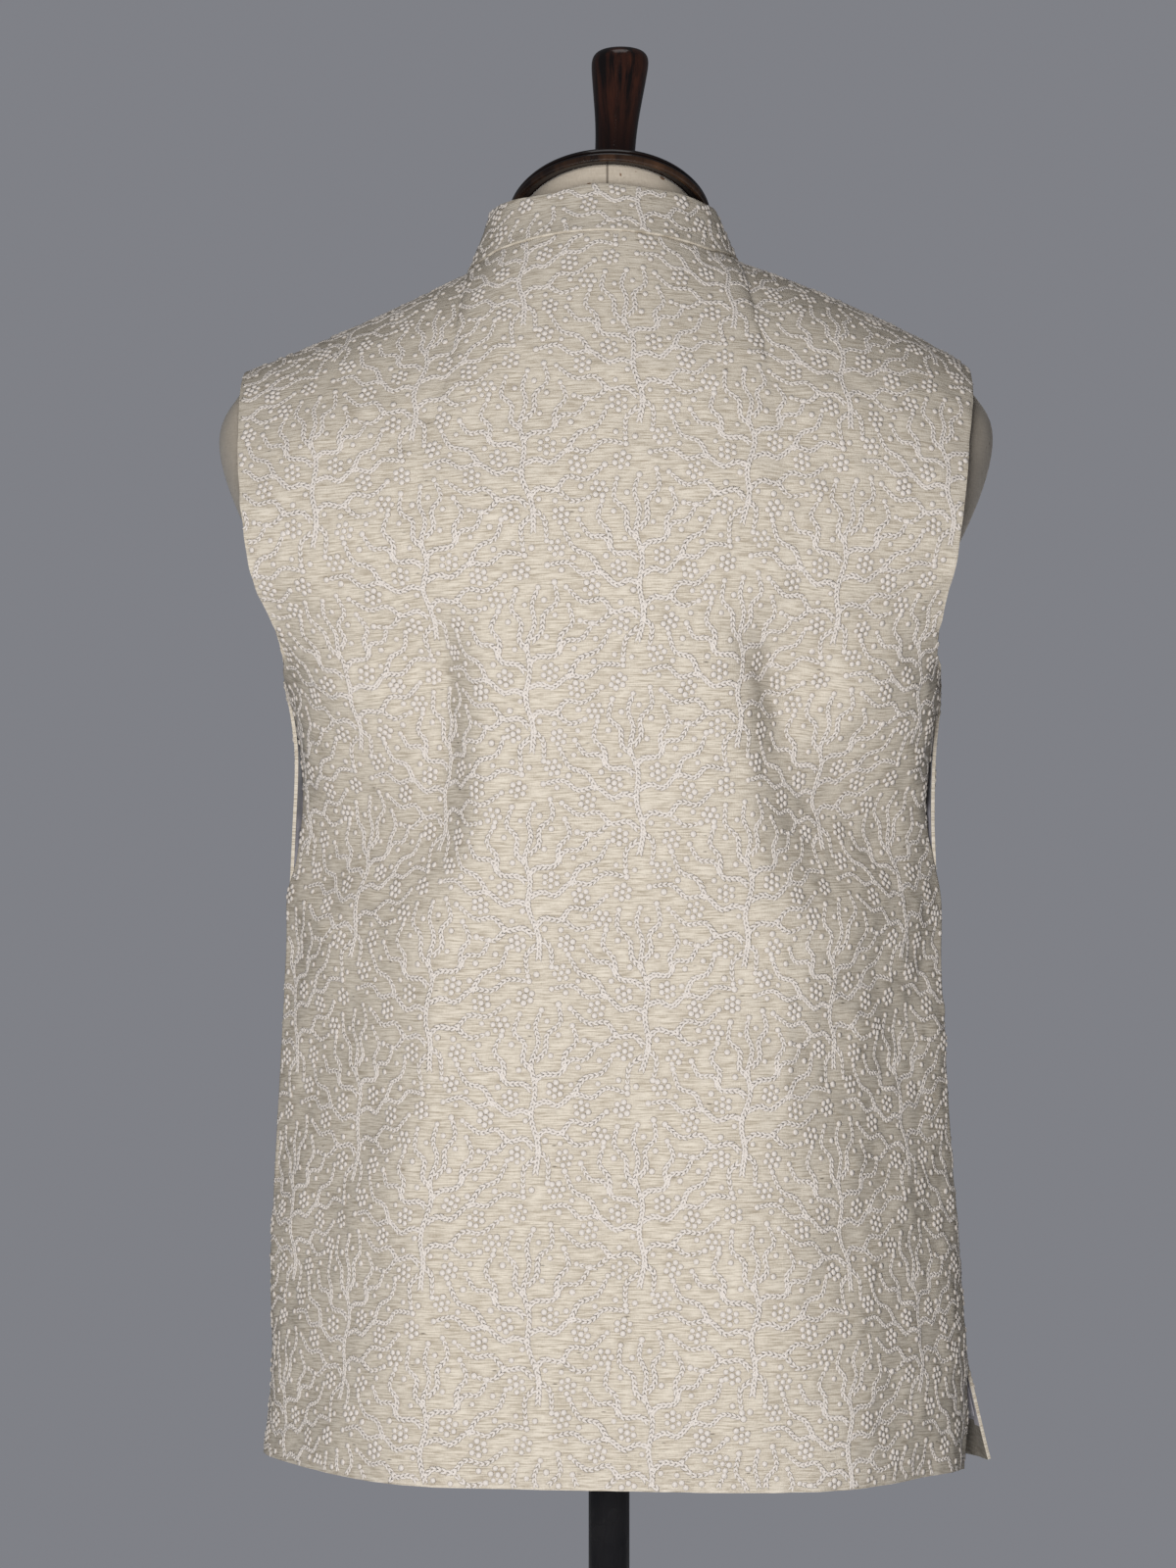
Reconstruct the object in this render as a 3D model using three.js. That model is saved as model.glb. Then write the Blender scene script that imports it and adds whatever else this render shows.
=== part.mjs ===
// A man's stand-collar waistcoat of stiff ivory cloth, buttoned up on a limbless dress form.
// Millimetres, +Z up. The origin is on the floor under the pole. +Y is the wearer's front and +X the
// wearer's right, so the garment's back faces -Y.
//
// The cloth is a set of thin walls that share one worn shape. A point of that shape is named by the
// side that it is on (back or front), by "across", 0 at the centre line and 1 at the side seam or
// armhole edge, and by "up", 0 at the hem, 1 at the underarm and 2 at the neckline and shoulder seam.
// The form is cut from the same shape, drawn inwards, so that the shoulders of the cloth rest on it.

import * as THREE from 'three';
import { mergeVertices } from 'three/addons/utils/BufferGeometryUtils.js';

// Heights of the garment
const HEM_Z = 760;
const VENT_TOP_Z = 822;
const UNDERARM_Z = 1213;
const SHOULDER_TIP_Z = 1396;
const NECK_SIDE_Z = 1454;

// The cloth and its seams
const CLOTH = 2.0;
const SEAM_GAP = 0.3;
const LINING = 1.0;
const HEM_TURN_DEPTH = 20;
const HEM_TURN = 0.8;
const LINING_SHARE = { from: 0.64, to: 0.99 };
const LINING_TOP_Z = 900;

// The neckline and the collar that stands on it
const NECK_HALF_WIDTH = 78;
const NECK_BACK_Y = 68;
const NECK_FRONT_Y = 78;
const NECK_BACK_RISE = 14;
const NECK_FRONT_DROP = 62;
const COLLAR_TOP = { shift: -3, halfWidth: 65.3, back: 47, front: 76, side: 1489, rise: 9, drop: 61 };
const COLLAR_HEIGHT = 36;
const COLLAR_EASE = 0.3;
const COLLAR_END_RADIUS = 14;
const COLLAR_FRONT_GAP = 3;

// The shoulders, the armholes and the buttoned front
const SHOULDER_HALF_WIDTH = 210;
const NECK_SHARE = 0.44;
const ARM_WIDTH = 235;
const ARM_WIDENING = { by: 0.35, power: 1.15 };
const ARM_FLARE = 3;
const ARM_DENT = { depth: 6.5, at: 0.07, width: 0.09, from: 0.05 };
const OVERLAP = 20;
const LAYER_STEP = 1.25;
const VENT_FLARE = { right: 16, left: 0.5 };
const VENT_SAG = { right: 5, left: 0.5 };
const VENT_POWER = { up: 1.2, across: 5 };

// How far the worn shape reaches from the form's axis, seam to seam, at each height
const CLOTH_SECTIONS = [
  { name: 'hem', z: 760, halfWidth: 204, back: 132, front: 128 },
  { name: 'seat', z: 870, halfWidth: 201, back: 126, front: 124 },
  { name: 'high hip', z: 985, halfWidth: 194.5, back: 118, front: 118 },
  { name: 'waist', z: 1075, halfWidth: 190, back: 114, front: 116 },
  { name: 'ribs', z: 1165, halfWidth: 187, back: 119, front: 122 },
  { name: 'underarm', z: UNDERARM_Z, halfWidth: 192, back: 124, front: 125 },
];
const FORM_SECTIONS = [
  { name: 'foot', z: 862, halfWidth: 166, back: 101, front: 96 },
  { name: 'seat', z: 925, halfWidth: 168, back: 104, front: 98 },
  { name: 'high hip', z: 985, halfWidth: 160, back: 96, front: 96 },
  { name: 'waist', z: 1075, halfWidth: 148, back: 82, front: 96 },
  { name: 'ribs', z: 1155, halfWidth: 156, back: 84, front: 103 },
  { name: 'underarm', z: UNDERARM_Z, halfWidth: 170, back: 97, front: 105 },
];

// How a section is bowed, as shares of its half width and its reach. The form is round. The cloth is
// boxy below the underarm: nearly flat, then straight to a pressed turn at the side seam. Over the
// blades and the chest it spans flat from armhole to armhole.
const ROUNDNESS = 0.25;
const BOX = { bow: 0.1, slope: 2.0, hemBend: 0.65, bend: 0.57, settledZ: 1000, soft: 0.07, edge: 40,
  from: 1205, over: 100 };
const SPAN = { bow: 0.38, power: 2.4, over: 0.25, back: 1, front: 0.5 };

// The two halves of the torso above the underarm: how full the blades or the chest are, and how far
// round the shoulder each column of the cloth turns, in degrees, at the centre and at the shoulder
const UPPER = {
  back: { sign: -1, bulge: 11, centreTurn: 55 },
  front: { sign: 1, bulge: 8, centreTurn: 50 },
};
const SHOULDER_TURN = 90;

// The form and the cloth aren't quite even: they sway a little to one side as they rise, the right
// shoulder is fuller than the left one, and the hem hangs lower on the right
const SWAY = [
  { z: 760, x: 3.2 },
  { z: 805, x: 6 },
  { z: 855, x: 4.8 },
  { z: 930, x: 2.8 },
  { z: 1120, x: 2.6 },
  { z: 1195, x: 3.4 },
  { z: 1262, x: -3.6 },
  { z: 1330, x: -4 },
  { z: 1396, x: -1.5 },
  { z: 1454, x: -3.2 },
  { z: 1500, x: -3.4 },
];
const SHOULDER_CROWN = {
  right: { rise: 6.5, reach: 210 },
  left: { rise: -4.5, reach: 226 },
};
const CROWN = { start: 0.8, power: 0.6 };
const HEM_TILT = { drop: 3, from: 1075 };

// The largest folds of the cloth: soft troughs (depth above 0) and ridges (depth below 0) that run
// from a first point to a last one. The cloth falls away over "inner" towards the centre line and
// over "outer" towards the side seam.
const FOLDS = [
  { side: 'back', half: 1, x0: 95, z0: 1250, x1: 126, z1: 1100, depth: 21, inner: 30, outer: 52 },
  { side: 'back', half: -1, x0: 102, z0: 1252, x1: 120, z1: 1096, depth: 20, inner: 25, outer: 56 },
  { side: 'back', half: -1, x0: 186, z0: 1098, x1: 148, z1: 1036, depth: -4, inner: 12, outer: 14 },
  { side: 'back', half: 1, x0: 122, z0: 1066, x1: 190, z1: 1092, depth: -4, inner: 22, outer: 22 },
  { side: 'front', half: 1, x0: 96, z0: 1240, x1: 124, z1: 1070, depth: 9, inner: 14, outer: 32 },
  { side: 'front', half: -1, x0: 92, z0: 1246, x1: 128, z1: 1064, depth: 8, inner: 14, outer: 30 },
];
const FOLD_ENDS = { before: 0.12, easeIn: 0.35, past: 0.2, easeOut: 0.5, narrow: 0.75, wide: 1.25 };

// The dress form
const FORM_GAP = 0.6;
const FORM_DRAW_IN = 23;
const FORM_DRAW_END = 0.55;
const ARM_PLATE = {
  right: { bulge: 22, low: 0.08, high: 0.76, skew: 1.6 },
  left: { bulge: 19, low: 0.16, high: 0.75, skew: 1.9 },
};
const ARM_PLATE_POWER = { up: 0.6, across: 0.7 };
const NECK_RINGS = [
  { shift: -2, halfWidth: 63.5, back: 49.5, front: 62.5, side: 1463, tilt: 17, bend: -6 },
  { shift: 0, halfWidth: 57, back: 41, front: 58.5, side: 1475, tilt: 31, bend: -2 },
];
const NECK_TOP_REACH = 0.93;
const CAP = { x: 0.3, y: 13.5, z: 1480, halfWidth: 58.9, back: 66, front: 56, taper: 0.17,
  tilt: 31, thick: 11 };
const CAP_PROFILE = [
  { reach: 0.955, up: 0 },
  { reach: 1.0, up: 0.3 },
  { reach: 1.0, up: 0.62 },
  { reach: 0.955, up: 0.86 },
  { reach: 0.87, up: 1.0 },
  { reach: 0.6, up: 1.28 },
  { reach: 0.3, up: 1.42 },
];
const FINIAL = { x: 1.8, y: 20, footRadius: 14.5, lean: 3.2 };
const FINIAL_PROFILE = [
  { z: 1508, radius: 14.5 },
  { z: 1511, radius: 12.6 },
  { z: 1525, radius: 11.7 },
  { z: 1536, radius: 12 },
  { z: 1547, radius: 13 },
  { z: 1559, radius: 14.6 },
  { z: 1571, radius: 16.2 },
  { z: 1578, radius: 16.9 },
  { z: 1582, radius: 16.3 },
  { z: 1586, radius: 12.5 },
  { z: 1588.2, radius: 6 },
];
const POLE_RADIUS = 12;
const SOCKET = { radius: 34, plate: 6, sleeve: 17, drop: 30 };
const BASE_PROFILE = [
  { radius: 188, z: 0 },
  { radius: 190, z: 2 },
  { radius: 190, z: 10 },
  { radius: 186, z: 14 },
  { radius: 60, z: 22 },
  { radius: 26, z: 26 },
  { radius: 22, z: 44 },
];

// Buttons, one below another on the centre line of the front
const BUTTON = { radius: 9, thick: 4, rim: 1.2, rimWidth: 2.6, edge: 1, crown: 1.4, lift: 0.7,
  first: 1368, step: 90, count: 5 };

const COLOUR = {
  cloth: 0xcfc7b0,
  lining: 0xd9d5dc,
  button: 0xd8cfba,
  linen: 0xb7a88f,
  wood: 0x2a1210,
  metal: 0x17181a,
};

// How finely the walls are cut
const HEM_ROWS_Z = [760, 778.5, 781];
const BODY_ROWS = 13;
const ROWS_ABOVE = [0.05, 0.12, 0.21, 0.31, 0.42, 0.54, 0.66, 0.78, 0.89, 1];
const NECK_COLUMNS = 6;
const SHOULDER_COLUMNS = 8;
const ARM_COLUMNS = 6;
const TURNED_SIDES = 32;
const CAP_SIDES = 40;
const BUTTON_SIDES = 20;
const SHOULDER_SPACING = 1.15;
const STAND_COLUMN = 0.55;
const COLLAR_LEVELS = [0, 0.3, 0.65, 1];

// How near to a seam or a corner still counts as on it, and how near two points are one
const ON_SIDE = 0.999;
const TINY = 1e-6;
const SAME_POINT = 1e-3;

const radians = THREE.MathUtils.degToRad;
const clamp = THREE.MathUtils.clamp;
const lerp = THREE.MathUtils.lerp;
const smooth = (x) => THREE.MathUtils.smoothstep(x, 0, 1);

// The value of a column of a table at height z, on a smooth curve through its rows
function sectionValue(table, column, z) {
  const last = table.length - 1;
  let i = 0;
  while (i < last - 1 && z > table[i + 1].z) i += 1;
  const [a, b] = [table[i], table[i + 1]];
  const slope = (p, q) => (q[column] - p[column]) / (q.z - p.z);
  const before = table[Math.max(i - 1, 0)];
  const after = table[Math.min(i + 2, last)];
  const startSlope = i > 0 ? slope(before, b) : slope(a, b);
  const endSlope = i + 2 <= last ? slope(a, after) : slope(a, b);
  const span = b.z - a.z;
  const t = (z - a.z) / span;
  const s = 1 - t;
  return a[column] * s * s * (1 + 2 * t) + b[column] * t * t * (3 - 2 * t)
    + startSlope * span * t * s * s - endSlope * span * t * t * s;
}

// How far a section reaches forward or back at a share s of its half width: round, boxy, or flat
const roundReach = (s) => Math.sqrt(Math.max(0, 1 - s * s)) * (1 + ROUNDNESS * s * s);
const flatReach = (s) => 1 - SPAN.bow * s ** SPAN.power;
function boxyReach(s, z) {
  const bendAt = lerp(BOX.hemBend, BOX.bend, smooth(clamp((z - HEM_Z) / (BOX.settledZ - HEM_Z), 0, 1)));
  const bend = BOX.soft * Math.log1p(Math.exp((s - bendAt) / BOX.soft));
  return (1 - BOX.bow * s * s - BOX.slope * bend) * Math.sqrt(Math.max(0, 1 - s ** BOX.edge));
}

// The reach of the cloth's section at height z below the underarm
function clothReach(side, z, s) {
  const boxy = smooth(clamp((BOX.from - z) / BOX.over, 0, 1));
  return sectionValue(CLOTH_SECTIONS, side, z) * lerp(roundReach(s), boxyReach(s, z), boxy);
}

// The neckline at an angle from its centre: 0 at the centre and 90 degrees at the shoulder
function necklinePoint(side, angle) {
  const c = Math.cos(angle);
  const reach = side === 'back' ? -NECK_BACK_Y : NECK_FRONT_Y;
  const rise = side === 'back' ? NECK_BACK_RISE : -NECK_FRONT_DROP;
  return new THREE.Vector3(NECK_HALF_WIDTH * Math.sin(angle), reach * c, NECK_SIDE_Z + rise * c * c);
}

// The top edge of a panel: the neckline, then the shoulder seam
function topPoint(side, across) {
  if (across <= NECK_SHARE) return necklinePoint(side, (Math.PI / 2) * (across / NECK_SHARE));
  const t = (across - NECK_SHARE) / (1 - NECK_SHARE);
  return new THREE.Vector3(
    lerp(NECK_HALF_WIDTH, SHOULDER_HALF_WIDTH, t), 0, lerp(NECK_SIDE_Z, SHOULDER_TIP_Z, t));
}

// A point of the worn shape on its right half, before its folds
function smoothPoint(side, across, up) {
  const { sign, bulge, centreTurn } = UPPER[side];
  const angle = across * (Math.PI / 2);
  if (up <= 1) {
    const z = lerp(HEM_Z, UNDERARM_Z, up);
    const s = Math.sin(angle);
    return new THREE.Vector3(
      sectionValue(CLOTH_SECTIONS, 'halfWidth', z) * s, sign * clothReach(side, z, s), z);
  }
  const t = up - 1;
  const top = topPoint(side, across);
  const turn = radians(lerp(centreTurn, SHOULDER_TURN, smooth(clamp(across / NECK_SHARE, 0, 1))));
  const rise = Math.sin(turn * t) / Math.sin(turn);
  const fall = (Math.cos(turn * t) - Math.cos(turn)) / (1 - Math.cos(turn));
  const underarm = CLOTH_SECTIONS[CLOTH_SECTIONS.length - 1];
  const drift = Math.sin(t * (Math.PI / 2));
  const dent = ARM_DENT.depth * Math.exp(-(((t - ARM_DENT.at) / ARM_DENT.width) ** 2))
    * Math.min(1, t / ARM_DENT.from);
  const x = lerp(underarm.halfWidth * Math.sin(angle), top.x, drift)
    + (ARM_FLARE * Math.sin(Math.PI * t) - dent) * across ** 6;
  const widened = Math.min(1, t / ARM_WIDENING.by) ** ARM_WIDENING.power;
  const s = Math.min(1, x / lerp(underarm.halfWidth, ARM_WIDTH, widened));
  const flat = smooth(clamp(t / SPAN.over, 0, 1)) * SPAN[side];
  const reach = (underarm[side] + bulge * Math.sin(Math.PI * t)) * lerp(roundReach(s), flatReach(s), flat);
  const y = top.y + (sign * reach - top.y) * fall;
  return new THREE.Vector3(x, y, lerp(UNDERARM_Z, top.z, rise));
}

// A point of the even shape, moved to where the uneven form holds it
function posed(p) {
  const crown = p.x < 0 ? SHOULDER_CROWN.left : SHOULDER_CROWN.right;
  const height = smooth(clamp((p.z - UNDERARM_Z) / (SHOULDER_TIP_Z - UNDERARM_Z), 0, 1));
  const start = NECK_HALF_WIDTH * CROWN.start;
  const along = clamp((Math.abs(p.x) - start) / (crown.reach - start), 0, 1);
  const low = smooth(clamp((HEM_TILT.from - p.z) / (HEM_TILT.from - HEM_Z), 0, 1));
  const rise = crown.rise * height * (4 * along * (1 - along)) ** CROWN.power
    - (HEM_TILT.drop * low * p.x) / SHOULDER_HALF_WIDTH;
  return new THREE.Vector3(p.x + sectionValue(SWAY, 'x', p.z), p.y, p.z + rise);
}

// How deep a fold is at a point of the cloth, with its ends and its sides eased out
function foldDepth(fold, x, z) {
  const length = Math.hypot(fold.x1 - fold.x0, fold.z1 - fold.z0);
  const [dx, dz] = [(fold.x1 - fold.x0) / length, (fold.z1 - fold.z0) / length];
  const along = ((x - fold.x0) * dx + (z - fold.z0) * dz) / length;
  const beside = -(x - fold.x0) * dz + (z - fold.z0) * dx;
  const { before, easeIn, past, easeOut, narrow, wide } = FOLD_ENDS;
  const ends = smooth(clamp((along + before) / easeIn, 0, 1))
    * smooth(clamp((1 + past - along) / easeOut, 0, 1));
  const width = (beside < 0 ? fold.inner : fold.outer) * lerp(narrow, wide, clamp(along, 0, 1));
  return fold.depth * ends * Math.exp(-((beside / width) ** 2));
}

// A point of the worn shape: across runs from -1 to 1, and is below 0 on the wearer's left
function wornPoint(side, across, up) {
  const half = across < 0 ? -1 : 1;
  const p = smoothPoint(side, Math.abs(across), up);
  const inward = new THREE.Vector3(p.x / CLOTH_SECTIONS[0].halfWidth, p.y / CLOTH_SECTIONS[0].back, 0);
  inward.normalize();
  for (const fold of FOLDS) {
    if (fold.side === side && fold.half === half) p.addScaledVector(inward, -foldDepth(fold, p.x, p.z));
  }
  if (p.z < VENT_TOP_Z) {
    const opening = ((VENT_TOP_Z - p.z) / (VENT_TOP_Z - HEM_Z)) ** VENT_POWER.up
      * Math.abs(across) ** VENT_POWER.across;
    const which = half > 0 ? 'right' : 'left';
    if (side === 'front') {
      p.x += VENT_FLARE[which] * opening;
    } else {
      p.y -= VENT_SAG[which] * opening;
      p.z -= VENT_SAG[which] * opening;
    }
  }
  p.x *= half;
  return posed(p);
}

// The place across at which a row of the worn shape is x away from the centre line
function acrossAt(side, up, x) {
  let [low, high] = [0, NECK_SHARE];
  for (let i = 0; i < 40; i += 1) {
    const middle = (low + high) / 2;
    if (smoothPoint(side, middle, up).x < x) low = middle;
    else high = middle;
  }
  return (low + high) / 2;
}

// Unit normals of a grid of points, from the faces round each point
function gridNormals(grid) {
  const normals = grid.map((row) => row.map(() => new THREE.Vector3()));
  for (let i = 0; i + 1 < grid.length; i += 1) {
    for (let j = 0; j + 1 < grid[0].length; j += 1) {
      const diagonal = grid[i + 1][j + 1].clone().sub(grid[i][j]);
      const other = grid[i + 1][j].clone().sub(grid[i][j + 1]);
      const n = diagonal.cross(other);
      for (const [a, b] of [[i, j], [i + 1, j], [i, j + 1], [i + 1, j + 1]]) normals[a][b].add(n);
    }
  }
  normals.flat().forEach((n) => n.normalize());
  return normals;
}

// A closed body from triangles given as points, with equal corners joined and empty faces dropped
function closedGeometry(triangles) {
  const positions = new Float32Array(triangles.length * 9);
  triangles.flat().forEach((p, i) => positions.set([p.x, p.y, p.z], i * 3));
  const loose = new THREE.BufferGeometry();
  loose.setAttribute('position', new THREE.BufferAttribute(positions, 3));
  const merged = mergeVertices(loose, SAME_POINT);
  const kept = [];
  for (let i = 0; i < merged.index.count; i += 3) {
    const [a, b, c] = [0, 1, 2].map((k) => merged.index.getX(i + k));
    if (a !== b && b !== c && a !== c) kept.push(a, b, c);
  }
  merged.setIndex(kept);
  merged.computeVertexNormals();
  return merged;
}

const quad = (a, b, c, d) => [[a, b, c], [a, c, d]];

// A wall between an outer and an inner grid, closed round its edges
function wallGeometry(outer, inner) {
  const [rows, columns] = [outer.length, outer[0].length];
  const faces = [];
  for (let i = 0; i + 1 < rows; i += 1) {
    for (let j = 0; j + 1 < columns; j += 1) {
      faces.push(...quad(outer[i][j], outer[i][j + 1], outer[i + 1][j + 1], outer[i + 1][j]));
      faces.push(...quad(inner[i][j], inner[i + 1][j], inner[i + 1][j + 1], inner[i][j + 1]));
    }
  }
  for (let j = 0; j + 1 < columns; j += 1) {
    const top = rows - 1;
    faces.push(...quad(inner[0][j], inner[0][j + 1], outer[0][j + 1], outer[0][j]));
    faces.push(...quad(outer[top][j], outer[top][j + 1], inner[top][j + 1], inner[top][j]));
  }
  for (let i = 0; i + 1 < rows; i += 1) {
    const last = columns - 1;
    faces.push(...quad(outer[i][0], outer[i + 1][0], inner[i + 1][0], inner[i][0]));
    faces.push(...quad(outer[i + 1][last], outer[i][last], inner[i][last], inner[i + 1][last]));
  }
  return closedGeometry(faces);
}

const shifted = (grid, normals, distance) => grid.map((row, i) => row.map(
  (p, j) => p.clone().addScaledVector(normals[i][j], typeof distance === 'function'
    ? distance(i, j) : distance)));

const upAt = (z) => (z - HEM_Z) / (UNDERARM_Z - HEM_Z);
const ROWS = [
  ...HEM_ROWS_Z.map(upAt),
  ...Array.from({ length: BODY_ROWS }, (_, i) => lerp(
    upAt(HEM_ROWS_Z[HEM_ROWS_Z.length - 1]), 1, (i + 1) / BODY_ROWS)),
  ...ROWS_ABOVE.map((t) => 1 + t),
];

// The normals of a panel's grid, squared up at its seams so that the walls meet face to face
function panelNormals(grid, acrossOf) {
  const normals = gridNormals(grid);
  const onShoulder = (i, j) => ROWS[i] === 2 && Math.abs(acrossOf(i, j)) >= NECK_SHARE - TINY;
  normals.forEach((row, i) => row.forEach((n, j) => {
    if (onShoulder(i, j)) {
      const from = grid[i][j - 1] && onShoulder(i, j - 1) ? grid[i][j - 1] : grid[i][j];
      const to = grid[i][j + 1] && onShoulder(i, j + 1) ? grid[i][j + 1] : grid[i][j];
      const [dx, dz] = [to.x - from.x, to.z - from.z];
      n.set(-dz * Math.sign(dx), 0, Math.abs(dx)).normalize();
    } else if (ROWS[i] <= 1 && Math.abs(acrossOf(i, j)) > ON_SIDE) {
      n.y = 0;
      n.normalize();
    }
  }));
  return normals;
}

// Draws a panel's points back from its side and shoulder seams by half the gap between two pieces
function easedFromSeams(grid, acrossOf, sign) {
  grid.forEach((row, i) => row.forEach((p, j) => {
    const across = Math.abs(acrossOf(i, j));
    const onShoulder = ROWS[i] === 2 && across >= NECK_SHARE - TINY;
    const onSide = ROWS[i] <= 1 && across > ON_SIDE;
    if (onShoulder || onSide) p.y += (sign * SEAM_GAP) / 2;
  }));
}

// Columns that keep one at each corner between the neckline and the shoulder seam
function acrossValues() {
  const neck = Array.from({ length: NECK_COLUMNS }, (_, j) => (NECK_SHARE * j) / NECK_COLUMNS);
  const side = Array.from({ length: SHOULDER_COLUMNS + 1 }, (_, j) => NECK_SHARE
    + (1 - NECK_SHARE) * (1 - (1 - j / SHOULDER_COLUMNS) ** SHOULDER_SPACING));
  return [...neck, ...side];
}
const HALF = acrossValues();
const ACROSS = [...HALF.slice(1).map((s) => -s).reverse(), ...HALF];

// The back: one piece from side seam to side seam
function backGrid() {
  const acrossOf = (i, j) => ACROSS[j];
  const grid = ROWS.map((up) => ACROSS.map((s) => wornPoint('back', s, up)));
  const normals = panelNormals(grid, acrossOf);
  easedFromSeams(grid, acrossOf, UPPER.back.sign);
  return { grid, normals, acrossOf };
}

// How much of the step between the two fronts a point near the centre line takes
const layerShare = (x) => smooth(clamp((3 * OVERLAP - Math.abs(x)) / (2 * OVERLAP), 0, 1));

// A front: from its side seam across the centre line to the edge of the button stand. The wearer's
// left front lies on the right one, so near the centre each leaves its place by half a layer.
function frontGrid(half) {
  const columns = HALF.slice(1).reverse();
  const values = ROWS.map((up) => {
    const past = acrossAt('front', up, OVERLAP);
    const row = [...columns.map((s) => s * half), 0, -half * past * STAND_COLUMN, -half * past];
    return half > 0 ? row : row.reverse();
  });
  const acrossOf = (i, j) => values[i][j];
  const grid = ROWS.map((up, i) => values[i].map((s) => wornPoint('front', s, up)));
  const normals = panelNormals(grid, acrossOf);
  easedFromSeams(grid, acrossOf, UPPER.front.sign);
  const layer = half < 0 ? LAYER_STEP : -LAYER_STEP;
  const placed = shifted(grid, normals, (i, j) => layer * layerShare(grid[i][j].x));
  return { grid: placed, normals, acrossOf };
}

function clothMesh(name, outer, inner) {
  const material = new THREE.MeshStandardMaterial({ color: COLOUR.cloth, roughness: 0.75, metalness: 0 });
  const mesh = new THREE.Mesh(wallGeometry(outer, inner), material);
  mesh.name = name;
  return mesh;
}

// A panel's wall, a little thicker along the hem, where its cloth is turned up inside, but not where
// one front lies on the other
function panelMesh(name, { grid, normals }) {
  const hemTop = upAt(HEM_Z + HEM_TURN_DEPTH);
  const turn = (p) => HEM_TURN * (p.y > 0 ? 1 - layerShare(p.x) : 1);
  const depth = (i, j) => -CLOTH / 2 - (ROWS[i] < hemTop ? turn(grid[i][j]) : 0);
  return clothMesh(name, shifted(grid, normals, CLOTH / 2), shifted(grid, normals, depth));
}

// The top edges of the panels round the neck, as one row from the centre front over the wearer's
// left side and the back to the centre front again, with how far each stands up into the collar
function necklineEdge(back, left, right) {
  const last = ROWS.length - 1;
  const edgeOf = (panel, j, layer) => ({
    p: panel.grid[last][j].clone().addScaledVector(panel.normals[last][j], -layer),
    n: panel.normals[last][j],
    step: Math.abs(layer),
  });
  const onNeck = (s) => Math.abs(s) <= NECK_SHARE + TINY;
  const fromFront = (panel, half) => panel.grid[last].map((q, j) => ({ j, s: panel.acrossOf(last, j) }))
    .filter(({ s }) => onNeck(s) && s * half > -TINY)
    .map(({ j, s }) => ({ s, ...edgeOf(panel, j, (half < 0 ? 1 : -1) * LAYER_STEP
      * layerShare(panel.grid[last][j].x)) }))
    .sort((a, b) => Math.abs(a.s) - Math.abs(b.s));
  const acrossBack = back.grid[last].map((q, j) => ({ j, s: back.acrossOf(last, j) }))
    .filter(({ s }) => onNeck(s))
    .map(({ j, s }) => ({ s, ...edgeOf(back, j, 0) }));
  const rightSide = fromFront(right, 1).reverse();
  return [...fromFront(left, -1).slice(0, -1), ...acrossBack, ...rightSide.slice(1)];
}

// The top edge of the collar over a point of the neckline
function collarTopPoint(p) {
  const x = p.x - sectionValue(SWAY, 'x', p.z);
  const angle = Math.atan2(x / NECK_HALF_WIDTH, p.y / (p.y < 0 ? NECK_BACK_Y : NECK_FRONT_Y));
  const c = Math.cos(angle);
  return new THREE.Vector3(
    COLLAR_TOP.shift + COLLAR_TOP.halfWidth * Math.sin(angle),
    (c < 0 ? COLLAR_TOP.back : COLLAR_TOP.front) * c,
    COLLAR_TOP.side + (c < 0 ? COLLAR_TOP.rise : -COLLAR_TOP.drop) * c * c);
}

// The stand collar: one band round the neck, its two ends rounded where they meet at the front
function collarMesh(back, left, right) {
  const columns = necklineEdge(back, left, right).map(({ p, n, step }) => {
    const top = collarTopPoint(p);
    const rise = top.clone().sub(p).normalize();
    const lift = SEAM_GAP + (CLOTH / 2 + step) * Math.abs(rise.dot(n)) + COLLAR_EASE;
    return { foot: p.clone().addScaledVector(rise, lift), top };
  });
  const middle = columns[0].foot.x;
  for (const [end, next] of [[columns[0], columns[1]], [columns.at(-1), columns.at(-2)]]) {
    for (const key of ['foot', 'top']) {
      const share = (COLLAR_FRONT_GAP / 2) / Math.abs(next[key].x - end[key].x);
      end[key].lerp(next[key], share);
    }
  }
  const rounding = columns.map(({ foot }) => {
    const fromEnd = Math.abs(foot.x - middle) - COLLAR_FRONT_GAP / 2;
    const inside = clamp(COLLAR_END_RADIUS - fromEnd, 0, COLLAR_END_RADIUS);
    const drop = COLLAR_END_RADIUS - Math.sqrt(COLLAR_END_RADIUS ** 2 - inside ** 2);
    return foot.y > 0 ? 1 - drop / COLLAR_HEIGHT : 1;
  });
  const grid = COLLAR_LEVELS.map((level) => columns.map(
    ({ foot, top }, j) => foot.clone().lerp(top, level * rounding[j])));
  const normals = gridNormals(grid);
  return clothMesh('collar', shifted(grid, normals, CLOTH / 2), shifted(grid, normals, -CLOTH / 2));
}

// A point of a panel's own surface and its normal, on a column between two rows
function panelAt({ grid, normals }, j, up) {
  const i = Math.max(0, ROWS.findIndex((row, k) => k + 1 < ROWS.length && ROWS[k + 1] > up));
  const share = (up - ROWS[i]) / (ROWS[i + 1] - ROWS[i]);
  return {
    p: grid[i][j].clone().lerp(grid[i + 1][j], share),
    n: normals[i][j].clone().lerp(normals[i + 1][j], share).normalize(),
  };
}

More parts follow.
